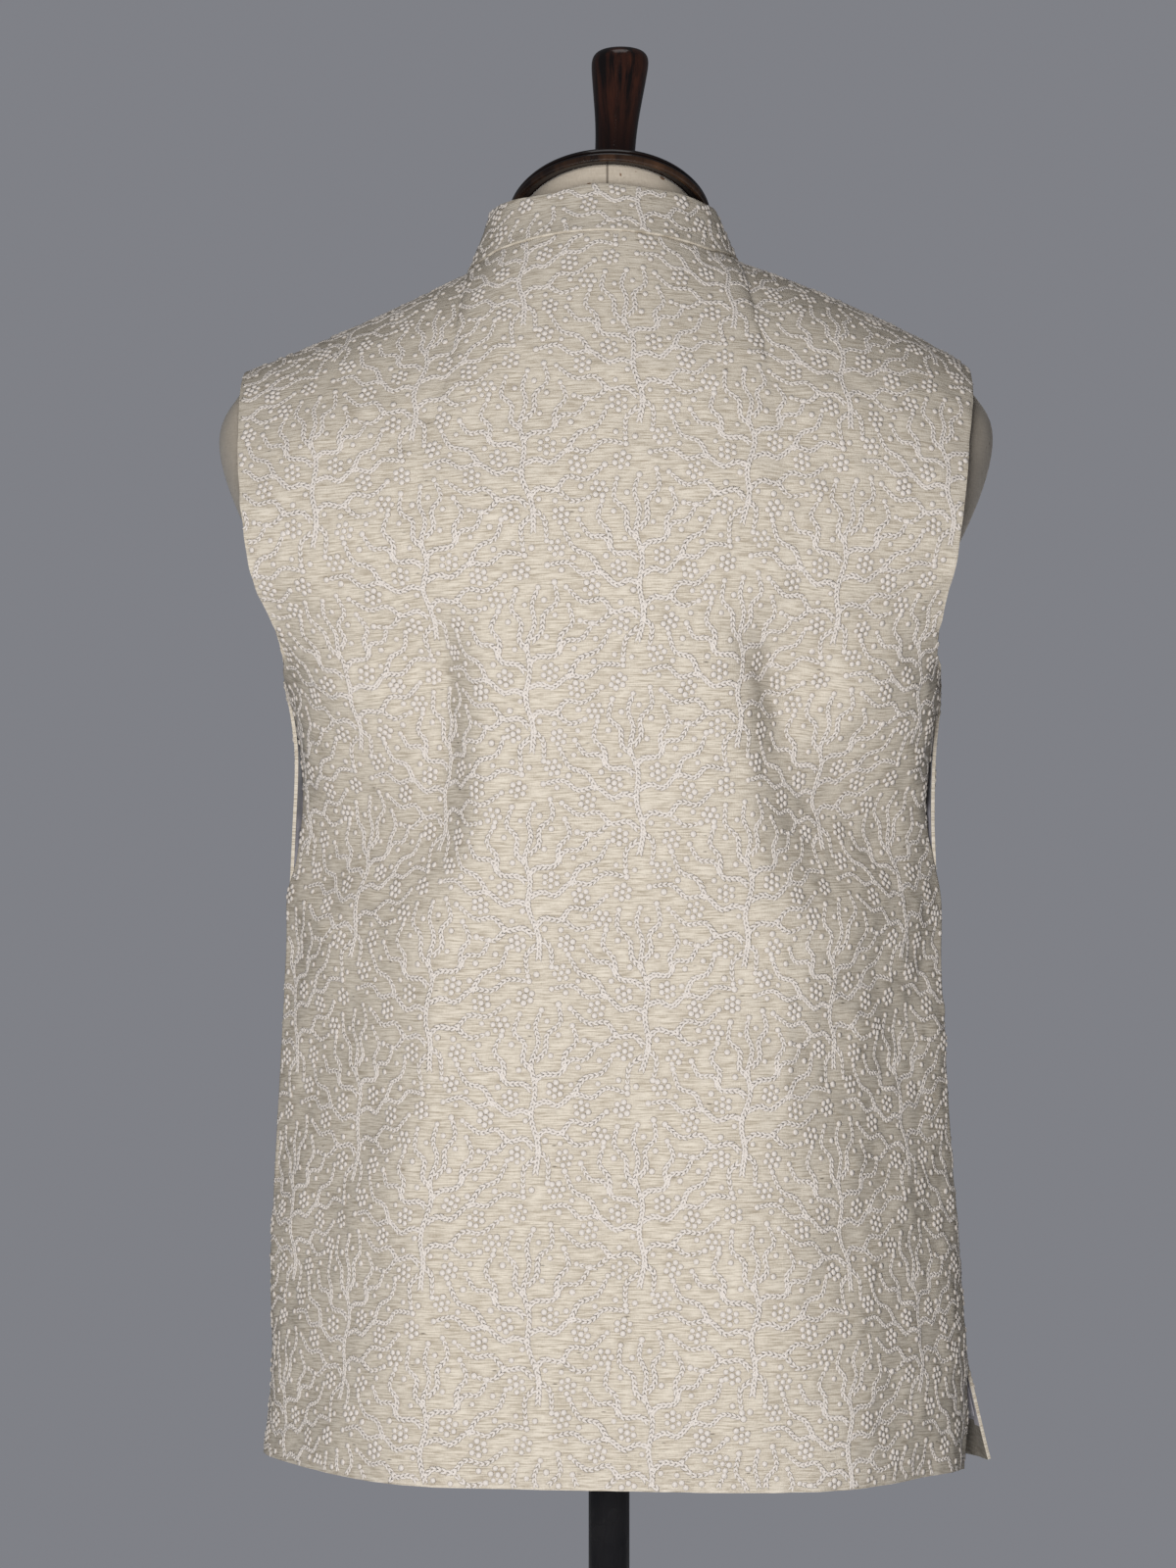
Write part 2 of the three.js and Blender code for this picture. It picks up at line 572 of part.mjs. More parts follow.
// The lining that shows inside a front where the vent opens: a strip beside the side seam, above
// the turned-up hem
function liningMesh(name, half, panel) {
  const [low, high] = [upAt(HEM_Z + HEM_TURN_DEPTH + 2 * CLOTH), upAt(LINING_TOP_Z)];
  const ups = [low, ...ROWS.filter((up) => up > low + TINY && up < high - TINY), high];
  const columns = panel.grid[0].map((_, j) => j).filter((j) => {
    const s = panel.acrossOf(0, j) * half;
    return s >= LINING_SHARE.from && s <= LINING_SHARE.to;
  });
  const near = CLOTH / 2 + SEAM_GAP;
  const layer = (depth) => ups.map((up) => columns.map((j) => {
    const { p, n } = panelAt(panel, j, up);
    return p.addScaledVector(n, -depth);
  }));
  const material = new THREE.MeshStandardMaterial({ color: COLOUR.lining, roughness: 0.45, metalness: 0 });
  const mesh = new THREE.Mesh(wallGeometry(layer(near), layer(near + LINING)), material);
  mesh.name = name;
  return mesh;
}

// A round button with a raised rim, lying on the left front
function buttonMesh(name, z, panel) {
  const { radius, thick, rim, rimWidth, edge, crown, lift } = BUTTON;
  const profile = [
    [0, 0], [radius - edge, 0], [radius, edge], [radius, thick - edge], [radius - crown, thick],
    [radius - rimWidth, thick - rim], [0, thick - rim],
  ].map(([x, y]) => new THREE.Vector2(x, y));
  const centre = panel.grid[0].findIndex((_, j) => Math.abs(panel.acrossOf(0, j)) < TINY);
  const row = panel.grid.findIndex((points) => points[centre].z > z);
  const [below, above] = [panel.grid[row - 1][centre].z, panel.grid[row][centre].z];
  const up = lerp(ROWS[row - 1], ROWS[row], (z - below) / (above - below));
  const { p, n } = panelAt(panel, centre, up);
  const geometry = mergeLathe(new THREE.LatheGeometry(profile, BUTTON_SIDES));
  const material = new THREE.MeshStandardMaterial({ color: COLOUR.button, roughness: 0.35, metalness: 0 });
  const mesh = new THREE.Mesh(geometry, material);
  mesh.quaternion.setFromUnitVectors(new THREE.Vector3(0, 1, 0), n);
  mesh.position.copy(p).addScaledVector(n, CLOTH / 2 + lift);
  mesh.name = name;
  return mesh;
}

// A lathed body with its seam and its poles joined up
function mergeLathe(geometry) {
  const bare = geometry.clone();
  bare.deleteAttribute('normal');
  bare.deleteAttribute('uv');
  const merged = mergeVertices(bare, SAME_POINT);
  const kept = [];
  for (let i = 0; i < merged.index.count; i += 3) {
    const [a, b, c] = [0, 1, 2].map((k) => merged.index.getX(i + k));
    if (a !== b && b !== c && a !== c) kept.push(a, b, c);
  }
  merged.setIndex(kept);
  merged.computeVertexNormals();
  return merged;
}

// A body turned about the vertical axis from a profile of radii and heights
function turnedMesh(name, profile, segments, material) {
  const geometry = mergeLathe(new THREE.LatheGeometry(
    profile.map(([radius, z]) => new THREE.Vector2(radius, z)), segments));
  geometry.rotateX(Math.PI / 2);
  const mesh = new THREE.Mesh(geometry, material);
  mesh.name = name;
  return mesh;
}

// A ring of the form's neck: angle 0 at the centre back
function neckRingPoint(ring, angle) {
  const c = Math.cos(angle);
  return new THREE.Vector3(
    ring.shift + ring.halfWidth * Math.sin(angle),
    c >= 0 ? -ring.back * c : -ring.front * c,
    ring.side + ring.tilt * c + ring.bend * c * c);
}

// The plane of the neck cap: its point at an angle, at a share of its reach and a height above it
function capPoint(angle, reach, above) {
  const tilt = radians(CAP.tilt);
  const c = Math.cos(angle);
  const out = -(c > 0 ? CAP.back : CAP.front) * reach * c;
  return new THREE.Vector3(
    CAP.x + CAP.halfWidth * (1 - CAP.taper * Math.max(0, -c)) * reach * Math.sin(angle),
    CAP.y + out * Math.cos(tilt) + above * Math.sin(tilt),
    CAP.z - out * Math.sin(tilt) + above * Math.cos(tilt));
}

// The back or the front of the form's skin, as rows of points from the wearer's left to the right
function formSide(side) {
  const { sign } = UPPER[side];
  const lower = FORM_SECTIONS.filter((section) => section.z < UNDERARM_Z);
  const heights = lower.flatMap(({ z }, i) => [z, (z + FORM_SECTIONS[i + 1].z) / 2]);
  const rows = heights.map((z) => ACROSS.map((s) => {
    const angle = s * (Math.PI / 2);
    const reach = sectionValue(FORM_SECTIONS, side, z) * roundReach(Math.sin(Math.abs(angle)));
    return new THREE.Vector3(
      sectionValue(SWAY, 'x', z) + sectionValue(FORM_SECTIONS, 'halfWidth', z) * Math.sin(angle),
      sign * reach, z);
  }));
  const cloth = ROWS.map((up) => ACROSS.map((s) => {
    const p = smoothPoint(side, Math.abs(s), up);
    p.x *= Math.sign(s);
    return posed(p);
  }));
  const normals = panelNormals(cloth, (i, j) => ACROSS[j]);
  ROWS.forEach((up, i) => {
    if (up < 1) return;
    const share = smooth(clamp((up - 1) / FORM_DRAW_END, 0, 1));
    const drawn = CLOTH / 2 + FORM_GAP + FORM_DRAW_IN * (1 - share);
    rows.push(cloth[i].map((p, j) => {
      const n = normals[i][j];
      const onSeam = up === 2 && Math.abs(ACROSS[j]) >= NECK_SHARE - TINY;
      const outward = onSeam || side === 'back' ? 1 : -1;
      if (up === 1 && Math.abs(ACROSS[j]) === 1) n.set(outward * ACROSS[j], 0, 0);
      const lapped = side === 'front' ? LAYER_STEP * layerShare(p.x) : 0;
      return p.clone().addScaledVector(n, -outward * (drawn + lapped));
    }));
  });
  return rows;
}

// The covered torso: hips to neck in one closed body, with rounded ends where the arms would start
function torsoMesh() {
  const back = formSide('back');
  const front = formSide('front');
  const firstUpper = back.length - ROWS_ABOVE.length;
  const end = ACROSS.length - 1;
  const middle = end / 2;
  const arc = (i, j, from, to) => {
    const t = i < firstUpper ? 0 : ROWS_ABOVE[i - firstUpper];
    const { bulge, low, high, skew } = j === end ? ARM_PLATE.right : ARM_PLATE.left;
    const reach = clamp((t - low) / (high - low), 0, 1);
    const swell = bulge * Math.max(0, Math.sin(Math.PI * reach ** skew)) ** ARM_PLATE_POWER.up;
    return Array.from({ length: ARM_COLUMNS - 1 }, (_, k) => {
      const share = (k + 1) / ARM_COLUMNS;
      const p = from[i][j].clone().lerp(to[i][j], share);
      p.x += Math.sign(ACROSS[j]) * swell * Math.sin(Math.PI * share) ** ARM_PLATE_POWER.across;
      return p;
    });
  };
  const rings = back.map((row, i) => [
    ...row.slice(middle), ...arc(i, end, back, front), ...[...front[i]].reverse(),
    ...arc(i, 0, front, back), ...row.slice(0, middle),
  ]);

  // The neck starts from the part of the last ring that is the neckline
  const [backTop, frontTop] = [back.at(-1), front.at(-1)];
  const [neckLeft, neckRight] = [middle - NECK_COLUMNS, middle + NECK_COLUMNS];
  const neckline = [
    ...backTop.slice(middle, neckRight + 1),
    ...frontTop.slice(neckLeft + 1, neckRight).reverse(),
    ...backTop.slice(neckLeft, middle),
  ];
  const around = neckline.map((_, j) => (Math.PI * j) / (2 * NECK_COLUMNS));
  const neckRings = [
    neckline,
    ...NECK_RINGS.map((ring) => around.map((a) => neckRingPoint(ring, a))),
    around.map((a) => capPoint(a, NECK_TOP_REACH, -SEAM_GAP)),
  ];
  const triangles = [
    ...fan(rings[0], true), ...ringTriangles(rings),
    ...ringTriangles(neckRings), ...fan(neckRings.at(-1), false),
  ];
  const material = new THREE.MeshStandardMaterial({ color: COLOUR.linen, roughness: 0.9, metalness: 0 });
  const mesh = new THREE.Mesh(closedGeometry(triangles), material);
  mesh.name = 'form_torso';
  return mesh;
}

// A flat end over a ring, facing down or up
function fan(ring, down) {
  const centre = ring.reduce((sum, p) => sum.add(p), new THREE.Vector3()).divideScalar(ring.length);
  return ring.map((p, j) => {
    const q = ring[(j + 1) % ring.length];
    return down ? [centre, q, p] : [centre, p, q];
  });
}

// The triangles between rings of points, from the lowest ring up
function ringTriangles(rings) {
  const triangles = [];
  for (let i = 0; i + 1 < rings.length; i += 1) {
    rings[i].forEach((p, j) => {
      const k = (j + 1) % rings[i].length;
      triangles.push(...quad(p, rings[i][k], rings[i + 1][k], rings[i + 1][j]));
    });
  }
  return triangles;
}

const ringGeometry = (rings) => closedGeometry(
  [...fan(rings[0], true), ...ringTriangles(rings), ...fan(rings.at(-1), false)]);

// The wooden neck cap: an oval plate with a moulded rim and a low dome, on the slope of the neck
function capMesh(material) {
  const around = Array.from({ length: CAP_SIDES }, (_, j) => (2 * Math.PI * j) / CAP_SIDES);
  const rings = CAP_PROFILE.map(({ reach, up }) => around.map((a) => capPoint(a, reach, up * CAP.thick)));
  const mesh = new THREE.Mesh(ringGeometry(rings), material);
  mesh.name = 'neck_cap';
  return mesh;
}

// The turned finial that stands on the slope of the cap and leans a little to the wearer's right
function finialMesh(material) {
  const around = Array.from({ length: TURNED_SIDES }, (_, j) => (2 * Math.PI * j) / TURNED_SIDES);
  const seat = capPoint(0, 0, CAP_PROFILE.at(-1).up * CAP.thick + SEAM_GAP);
  const slope = Math.tan(radians(CAP.tilt));
  const lean = Math.tan(radians(FINIAL.lean));
  const point = (angle, radius, z) => {
    const y = FINIAL.y - radius * Math.cos(angle);
    const height = z ?? seat.z - (y - seat.y) * slope;
    return new THREE.Vector3(FINIAL.x + (height - seat.z) * lean + radius * Math.sin(angle), y, height);
  };
  const rings = [
    around.map((a) => point(a, FINIAL.footRadius)),
    ...FINIAL_PROFILE.map(({ z, radius }) => around.map((a) => point(a, radius, z))),
  ];
  const mesh = new THREE.Mesh(ringGeometry(rings), material);
  mesh.name = 'finial';
  return mesh;
}

// The stand: a round base, a pole, and the socket that carries the torso
function standMeshes(material) {
  const foot = FORM_SECTIONS[0].z;
  const topOfBase = BASE_PROFILE[BASE_PROFILE.length - 1].z;
  const base = turnedMesh(
    'stand_base', [[0, 0], ...BASE_PROFILE.map(({ radius, z }) => [radius, z]), [0, topOfBase]],
    2 * TURNED_SIDES, material);
  const underPlate = foot - SEAM_GAP - SOCKET.plate;
  const socket = turnedMesh('pole_socket', [
    [0, underPlate - SOCKET.drop], [SOCKET.sleeve, underPlate - SOCKET.drop], [SOCKET.sleeve, underPlate],
    [SOCKET.radius, underPlate], [SOCKET.radius, foot - SEAM_GAP], [0, foot - SEAM_GAP],
  ], TURNED_SIDES, material);
  const [low, high] = [topOfBase + SEAM_GAP, underPlate - SOCKET.drop - SEAM_GAP];
  const rod = [[0, low], [POLE_RADIUS, low], [POLE_RADIUS, high], [0, high]];
  const pole = turnedMesh('pole', rod, TURNED_SIDES, material);
  return [base, socket, pole];
}

const part = new THREE.Group();
const back = backGrid();
const left = frontGrid(-1);
const right = frontGrid(1);
part.add(panelMesh('back', back), panelMesh('front_left', left), panelMesh('front_right', right));
part.add(collarMesh(back, left, right));
part.add(liningMesh('lining_left', -1, left), liningMesh('lining_right', 1, right));
for (let k = 0; k < BUTTON.count; k += 1) {
  part.add(buttonMesh(`button_${k + 1}`, BUTTON.first - k * BUTTON.step, left));
}

const wood = new THREE.MeshStandardMaterial({ color: COLOUR.wood, roughness: 0.25, metalness: 0 });
const metal = new THREE.MeshStandardMaterial({ color: COLOUR.metal, roughness: 0.3, metalness: 0.8 });
part.add(torsoMesh(), capMesh(wood), finialMesh(wood), ...standMeshes(metal));

export default part;
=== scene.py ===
import math

import bpy
import numpy as np
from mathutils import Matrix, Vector
from mathutils.bvhtree import BVHTree
from mathutils.kdtree import KDTree


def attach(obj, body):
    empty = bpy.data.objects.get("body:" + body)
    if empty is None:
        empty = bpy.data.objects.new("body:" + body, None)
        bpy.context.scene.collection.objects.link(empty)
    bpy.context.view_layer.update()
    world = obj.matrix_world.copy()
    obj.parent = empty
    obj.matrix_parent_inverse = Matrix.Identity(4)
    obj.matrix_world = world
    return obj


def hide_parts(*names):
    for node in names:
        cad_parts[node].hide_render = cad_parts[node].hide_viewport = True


# A man's stand-collar waistcoat of slubbed ivory cloth, embroidered all over, on a dress form.
# Shapes are worked out in millimetres and go to metres when a mesh is made. The frame's own axes
# hold: +Z up, +X the wearer's right, -Y the garment's back, which faces the camera.
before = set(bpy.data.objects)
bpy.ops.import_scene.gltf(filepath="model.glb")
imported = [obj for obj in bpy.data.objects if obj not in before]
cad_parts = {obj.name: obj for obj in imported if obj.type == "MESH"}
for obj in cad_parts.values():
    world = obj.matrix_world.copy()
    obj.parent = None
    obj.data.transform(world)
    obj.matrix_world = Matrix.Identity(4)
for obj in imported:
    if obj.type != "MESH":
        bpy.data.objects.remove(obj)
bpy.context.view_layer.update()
MM = 0.001


# The stand's foot
# A heavy round plate of black lacquered metal with a raised hub that takes the pole.
# It is turned on a lathe, and its edges are eased.
FOOT_ROWS = [(187, 0), (190, 2), (190, 10), (186, 14), (120, 18.5), (60, 22), (34, 24.5), (26, 28),
             (24, 36), (22, 44)]
FOOT_SIDES = 128
LACQUER, LACQUER_WORN = (0.009, 0.009, 0.011), (0.020, 0.019, 0.020)


def pick(piece):
    """Selects one piece alone, in object mode."""
    if bpy.context.object and bpy.context.object.mode != "OBJECT":
        bpy.ops.object.mode_set(mode="OBJECT")
    bpy.ops.object.select_all(action="DESELECT")
    if piece:
        piece.select_set(True)
        bpy.context.view_layer.objects.active = piece


def finish_with(piece, kind, **settings):
    """Adds a modifier to a piece and applies it."""
    modifier = piece.modifiers.new(kind.title(), kind)
    for name, value in settings.items():
        setattr(modifier, name, value)
    pick(piece)
    bpy.ops.object.modifier_apply(modifier=modifier.name)


def smooth_faces(piece, sharp=None):
    """Smooth shading, all over or up to an angle in degrees between faces."""
    pick(piece)
    if sharp is None:
        bpy.ops.object.shade_smooth()
    else:
        bpy.ops.object.shade_smooth_by_angle(angle=math.radians(sharp))


def turned(name, rows, sides):
    """A solid turned about the upright axis, from rows of radius and height, bottom first."""
    pick(None)
    radius, height = rows[0]
    bpy.ops.mesh.primitive_circle_add(vertices=sides, radius=radius * MM, fill_type="NGON",
                                      location=(0, 0, height * MM))
    piece = bpy.context.object
    piece.name = name
    bpy.ops.object.transform_apply(location=True, rotation=True, scale=True)
    bpy.ops.object.mode_set(mode="EDIT")
    bpy.ops.mesh.select_all(action="SELECT")
    for next_radius, next_height in rows[1:]:
        rise = (next_height - height) * MM
        bpy.ops.mesh.extrude_region_move(TRANSFORM_OT_translate={"value": (0, 0, rise)})
        share = next_radius / radius
        bpy.ops.transform.resize(value=(share, share, 1))
        radius, height = next_radius, next_height
    bpy.ops.mesh.select_all(action="SELECT")
    bpy.ops.mesh.normals_make_consistent(inside=False)
    bpy.ops.object.mode_set(mode="OBJECT")
    return piece


def place(piece, slot, *nodes):
    """Makes a piece ride with the stand, and replaces CAD nodes. slot is not used."""
    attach(piece, "root")
    if nodes:
        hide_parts(*nodes)


def fill(tree, made, inputs):
    """Sets a node's inputs from plain values, or links them from sockets."""
    for name, value in inputs.items():
        socket = made.inputs[name]
        if isinstance(value, bpy.types.NodeSocket):
            tree.links.new(value, socket)
        else:
            socket.default_value = (*value, 1) if socket.type == "RGBA" else value
    return made


def add_node(tree, kind, inputs=None, **settings):
    """A shader node with its settings and its inputs."""
    made = tree.nodes.new("ShaderNode" + kind)
    for name, value in settings.items():
        setattr(made, name, value)
    return fill(tree, made, inputs or {})


def new_material(name, **values):
    """A material with its Principled shader's plain values set; returns both and the node tree."""
    material = bpy.data.materials.new(name)
    material.use_nodes = True
    tree = material.node_tree
    shader = tree.nodes["Principled BSDF"]
    for key, value in values.items():
        shader.inputs[key.replace("_", " ")].default_value = value
    return material, tree, shader


def new_group(name, inputs, outputs):
    """An empty shader node group; inputs and outputs are rows of name, kind and default."""
    group = bpy.data.node_groups.new(name, "ShaderNodeTree")
    for way, rows in (("INPUT", inputs), ("OUTPUT", outputs)):
        for label, kind, default in rows:
            socket = group.interface.new_socket(name=label, in_out=way,
                                                socket_type="NodeSocket" + kind)
            if default is not None:
                socket.default_value = default
    return group, group.nodes.new("NodeGroupInput").outputs, group.nodes.new("NodeGroupOutput").inputs


def use_group(tree, group, inputs):
    made = tree.nodes.new("ShaderNodeGroup")
    made.node_tree = group
    return fill(tree, made, inputs).outputs


def ramp(tree, value, stops):
    """A colour ramp over a value, from rows of place and colour."""
    made = add_node(tree, "ValToRGB", {"Fac": value})
    elements = made.color_ramp.elements
    while len(elements) < len(stops):
        elements.new(0.5)
    for element, (position, colour) in zip(elements, stops):
        element.position = position
        element.color = (*colour, 1)
    return made.outputs["Color"]


def maths(tree, operation, a, b, clamp=False):
    return add_node(tree, "Math", {0: a, 1: b}, operation=operation, use_clamp=clamp).outputs[0]


def own_place(tree):
    return add_node(tree, "TexCoord").outputs["Object"]


def noise(tree, where, scale, detail, **more):
    return add_node(tree, "TexNoise", {"Vector": where, "Scale": scale, "Detail": detail,
                                       **more}).outputs[0]


def stretched(tree, where, scale, shift=0.0):
    """A place drawn out for streaks: it changes slowly where the scale is small."""
    return add_node(tree, "Mapping", {"Vector": where, "Scale": scale, "Location": (shift,) * 3}).outputs[0]


def mapped(tree, value, low, high, to_low=0.0, to_high=1.0):
    """A value between low and high brought to a new span, and held there."""
    return add_node(tree, "MapRange", {"Value": value, "From Min": low, "From Max": high,
                                       "To Min": to_low, "To Max": to_high}).outputs[0]


def bumped(tree, height, strength, distance, **more):
    return add_node(tree, "Bump", {"Height": height, "Strength": strength, "Distance": distance,
                                   **more}).outputs[0]


# Handling marks that every hard finish here has: cloudy smears and fine hairline scratches
marks, marks_in, marks_out = new_group(
    "handling marks",
    [("Smear size", "Float", 30.0), ("Scratch size", "Float", 400.0)],
    [("Smears", "Float", None), ("Scratches", "Float", None)])
marks_place = own_place(marks)
marks.links.new(noise(marks, marks_place, marks_in["Smear size"], 4.0, Roughness=0.6), marks_out["Smears"])
drawn = stretched(marks, marks_place, (1.0, 1.0, 0.06))
marks.links.new(noise(marks, drawn, marks_in["Scratch size"], 2.0), marks_out["Scratches"])

lacquer, tree, shader = new_material("black lacquer", Metallic=0.0, Coat_Weight=0.7,
                                     Coat_Roughness=0.06, IOR=1.5)
wear = use_group(tree, marks, {"Smear size": 22.0, "Scratch size": 260.0})
fill(tree, shader, {
    "Base Color": ramp(tree, wear["Smears"], [(0.35, LACQUER), (0.75, LACQUER_WORN)]),
    "Roughness": mapped(tree, wear["Smears"], 0.3, 0.75, 0.14, 0.32),
    "Normal": bumped(tree, wear["Scratches"], 0.08, 0.0002)})

foot = turned("stand_foot", FOOT_ROWS, FOOT_SIDES)
finish_with(foot, "BEVEL", width=1.0 * MM, segments=3, limit_method="ANGLE", angle_limit=math.radians(24))
smooth_faces(foot, 40)
foot.data.materials.append(lacquer)
place(foot, "stand_metal", "stand_base")


# The pole and the socket
# A straight lacquered tube stands in the hub. A sleeve with a round plate fits over its top, and
# the form's wooden bottom is screwed down on the plate.
POLE_ROWS = [(11.4, 44.3), (12, 45), (12, 824.7), (11.4, 825.4)]
SOCKET_ROWS = [(16.2, 825.7), (17, 826.6), (17, 853.5), (18.5, 855.7), (33, 855.7), (34, 856.6),
               (34, 860.8), (33.2, 861.7)]
pole = turned("pole_tube", POLE_ROWS, 96)
socket = turned("form_socket", SOCKET_ROWS, 96)
for piece, node in ((pole, "pole"), (socket, "pole_socket")):
    smooth_faces(piece, 35)
    piece.data.materials.append(lacquer)
    place(piece, "stand_metal", node)


# The form
# A padded torso without limbs, from hips to neck, covered in undyed linen that is pulled tight
# and joined by narrow seams at the centre back and the centre front.
LINEN = {"pale": (0.62, 0.545, 0.45), "deep": (0.49, 0.42, 0.335), "speck": (0.20, 0.11, 0.06),
         "seam": (0.10, 0.08, 0.06)}
SEAM = {"off_centre": 0.0012, "core": 0.0003, "edge": 0.0009, "depth": 0.8, "share": 0.75}
# The slope on which the linen ends, under the cap
NECK_TOP = {"y": 13.5, "z": 1480, "tilt": math.radians(31), "edge": 1.5, "hollow": 30}


def mix_colours(tree, share, a, b):
    """Two colours mixed by a share; each is a socket or three numbers."""
    return add_node(tree, "Mix", {0: share, 6: a, 7: b}, data_type="RGBA").outputs[2]


# A plain weave on Object coordinates: threads both ways, uneven in tone
weave, weave_in, weave_out = new_group(
    "plain weave",
    [("Threads", "Float", 900.0), ("Pale", "Color", (0.6, 0.5, 0.4, 1)),
     ("Deep", "Color", (0.4, 0.3, 0.2, 1))],
    [("Colour", "Color", None), ("Height", "Float", None)])
weave_place = own_place(weave)
threads = [noise(weave, stretched(weave, weave_place, scale), weave_in["Threads"], 2.0, Roughness=0.6)
           for scale in ((0.10, 0.10, 1.0), (1.0, 1.0, 0.10))]
height = maths(weave, "MULTIPLY", *threads)
weave.links.new(height, weave_out["Height"])
tone = maths(weave, "MULTIPLY", noise(weave, weave_place, 14.0, 4.0), 0.5)
shade = mapped(weave, maths(weave, "ADD", maths(weave, "MULTIPLY", height, 1.7), tone), 0.35, 1.05)
weave.links.new(mix_colours(weave, shade, weave_in["Deep"], weave_in["Pale"]), weave_out["Colour"])

linen, tree, shader = new_material("form linen", Roughness=0.9, Sheen_Weight=0.15, Sheen_Roughness=0.5)
cover = use_group(tree, weave, {"Threads": 1100.0, "Pale": LINEN["pale"], "Deep": LINEN["deep"]})
spot = own_place(tree)
fleck = mapped(tree, noise(tree, spot, 210.0, 1.0), 0.735, 0.78)
specked = mix_colours(tree, fleck, cover["Colour"], LINEN["speck"])
from_centre = maths(tree, "ADD", add_node(tree, "SeparateXYZ", {"Vector": spot}).outputs["X"],
                    SEAM["off_centre"])
seam = mapped(tree, maths(tree, "ABSOLUTE", from_centre, 0.0), SEAM["core"], SEAM["edge"], 1.0, 0.0)
relief = maths(tree, "SUBTRACT", cover["Height"], maths(tree, "MULTIPLY", seam, SEAM["depth"]))
fill(tree, shader, {
    "Base Color": mix_colours(tree, maths(tree, "MULTIPLY", seam, SEAM["share"]), specked, LINEN["seam"]),
    "Normal": bumped(tree, relief, 0.5, 0.0005)})

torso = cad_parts["form_torso"].copy()
torso.data = torso.data.copy()
torso.name = "form_body"
torso.parent = None
for key in [k for k in torso.keys() if k.startswith("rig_")]:
    del torso[key]
bpy.context.scene.collection.objects.link(torso)
pick(torso)
bpy.ops.object.mode_set(mode="EDIT")
bpy.ops.mesh.select_all(action="SELECT")
bpy.ops.mesh.remove_doubles(threshold=0.01 * MM)
bpy.ops.mesh.tris_convert_to_quads(face_threshold=math.radians(60), shape_threshold=math.radians(60))
# The edge under the cap is pulled tight over the wood, so it keeps its corner
bpy.ops.mesh.select_all(action="DESELECT")
bpy.ops.object.mode_set(mode="OBJECT")
for point in torso.data.vertices:
    x, y, z = point.co / MM
    y -= NECK_TOP["y"]
    below_cap = (NECK_TOP["z"] - z) * math.cos(NECK_TOP["tilt"]) - y * math.sin(NECK_TOP["tilt"])
    point.select = below_cap < NECK_TOP["edge"] and math.hypot(x, y) > NECK_TOP["hollow"]
bpy.ops.object.mode_set(mode="EDIT")
bpy.ops.transform.edge_crease(value=1)
bpy.ops.object.mode_set(mode="OBJECT")
finish_with(torso, "SUBSURF", levels=2, render_levels=2)
smooth_faces(torso)
torso.data.materials.clear()
torso.data.materials.append(linen)
place(torso, "form_linen", "form_torso")


# The neck cap
# An oval plate of dark polished hardwood with a moulded rim, turned and then laid on the slope of
# the neck. The bead along the rim's lower edge is a lighter brown.
CAP = {"x": 0.3, "y": 13.5, "z": 1480, "half_width": 60.9, "back": 66, "front": 56, "taper": 0.17,
       "tilt": math.radians(31), "thick": 11}
CAP_ROWS = [(0.955, 0), (0.978, 0.05), (0.995, 0.15), (1.0, 0.26), (0.996, 0.37), (0.982, 0.44),
            (0.972, 0.47), (0.972, 0.51), (0.984, 0.54), (0.984, 0.66), (0.966, 0.80), (0.930, 0.90),
            (0.87, 0.98), (0.80, 1.05), (0.6, 1.24), (0.3, 1.41), (0.1, 1.43)]
BEAD_TOP = 0.3
WORK_RADIUS = 100
RIM_COLOURS = {"dark": (0.006, 0.004, 0.004), "warm": (0.020, 0.010, 0.007)}
BEAD_COLOURS = {"dark": (0.010, 0.006, 0.005), "warm": (0.085, 0.042, 0.022)}

# Straight grain along the upright axis, from nearly black to red-brown, under a clear polish
grain, grain_in, grain_out = new_group(
    "wood grain",
    [("Rings", "Float", 60.0), ("Dark", "Color", (0, 0, 0, 1)), ("Warm", "Color", (0.1, 0.03, 0.01, 1)),
     ("Warm share", "Float", 0.5)],
    [("Colour", "Color", None), ("Height", "Float", None)])
long_way = stretched(grain, own_place(grain), (1.0, 1.0, 0.07))
figure = noise(grain, long_way, grain_in["Rings"], 5.0, Roughness=0.62, Distortion=0.4)
pores = noise(grain, long_way, 900.0, 2.0)
warmth = maths(grain, "ADD", figure, maths(grain, "MULTIPLY", pores, 0.12))
share = maths(grain, "MULTIPLY", mapped(grain, warmth, 0.46, 0.74), grain_in["Warm share"], clamp=True)
grain.links.new(mix_colours(grain, share, grain_in["Dark"], grain_in["Warm"]), grain_out["Colour"])
grain.links.new(pores, grain_out["Height"])


def polished_wood(name, colours, heights, shares, rings):
    """Hardwood whose red-brown shows by a share, which may change between two heights in metres."""
    material, tree, shader = new_material(name, Coat_Weight=1.0, Coat_Roughness=0.08, IOR=1.5)
    up = add_node(tree, "SeparateXYZ", {"Vector": own_place(tree)}).outputs["Z"]
    cut = use_group(tree, grain, {"Rings": rings, "Dark": colours["dark"], "Warm": colours["warm"],
                                  "Warm share": mapped(tree, up, *heights, *shares)})
    wear = use_group(tree, marks, {"Smear size": 45.0, "Scratch size": 500.0})
    fill(tree, shader, {"Base Color": cut["Colour"],
                        "Roughness": mapped(tree, wear["Smears"], 0.35, 0.7, 0.2, 0.42),
                        "Normal": bumped(tree, cut["Height"], 0.15, 0.0002)})
    return material


rim_wood = polished_wood("dark cap wood", RIM_COLOURS, (1.4, 1.5), (0.7, 0.7), 30.0)
bead_wood = polished_wood("lighter bead wood", BEAD_COLOURS, (1.4, 1.5), (0.9, 0.9), 45.0)


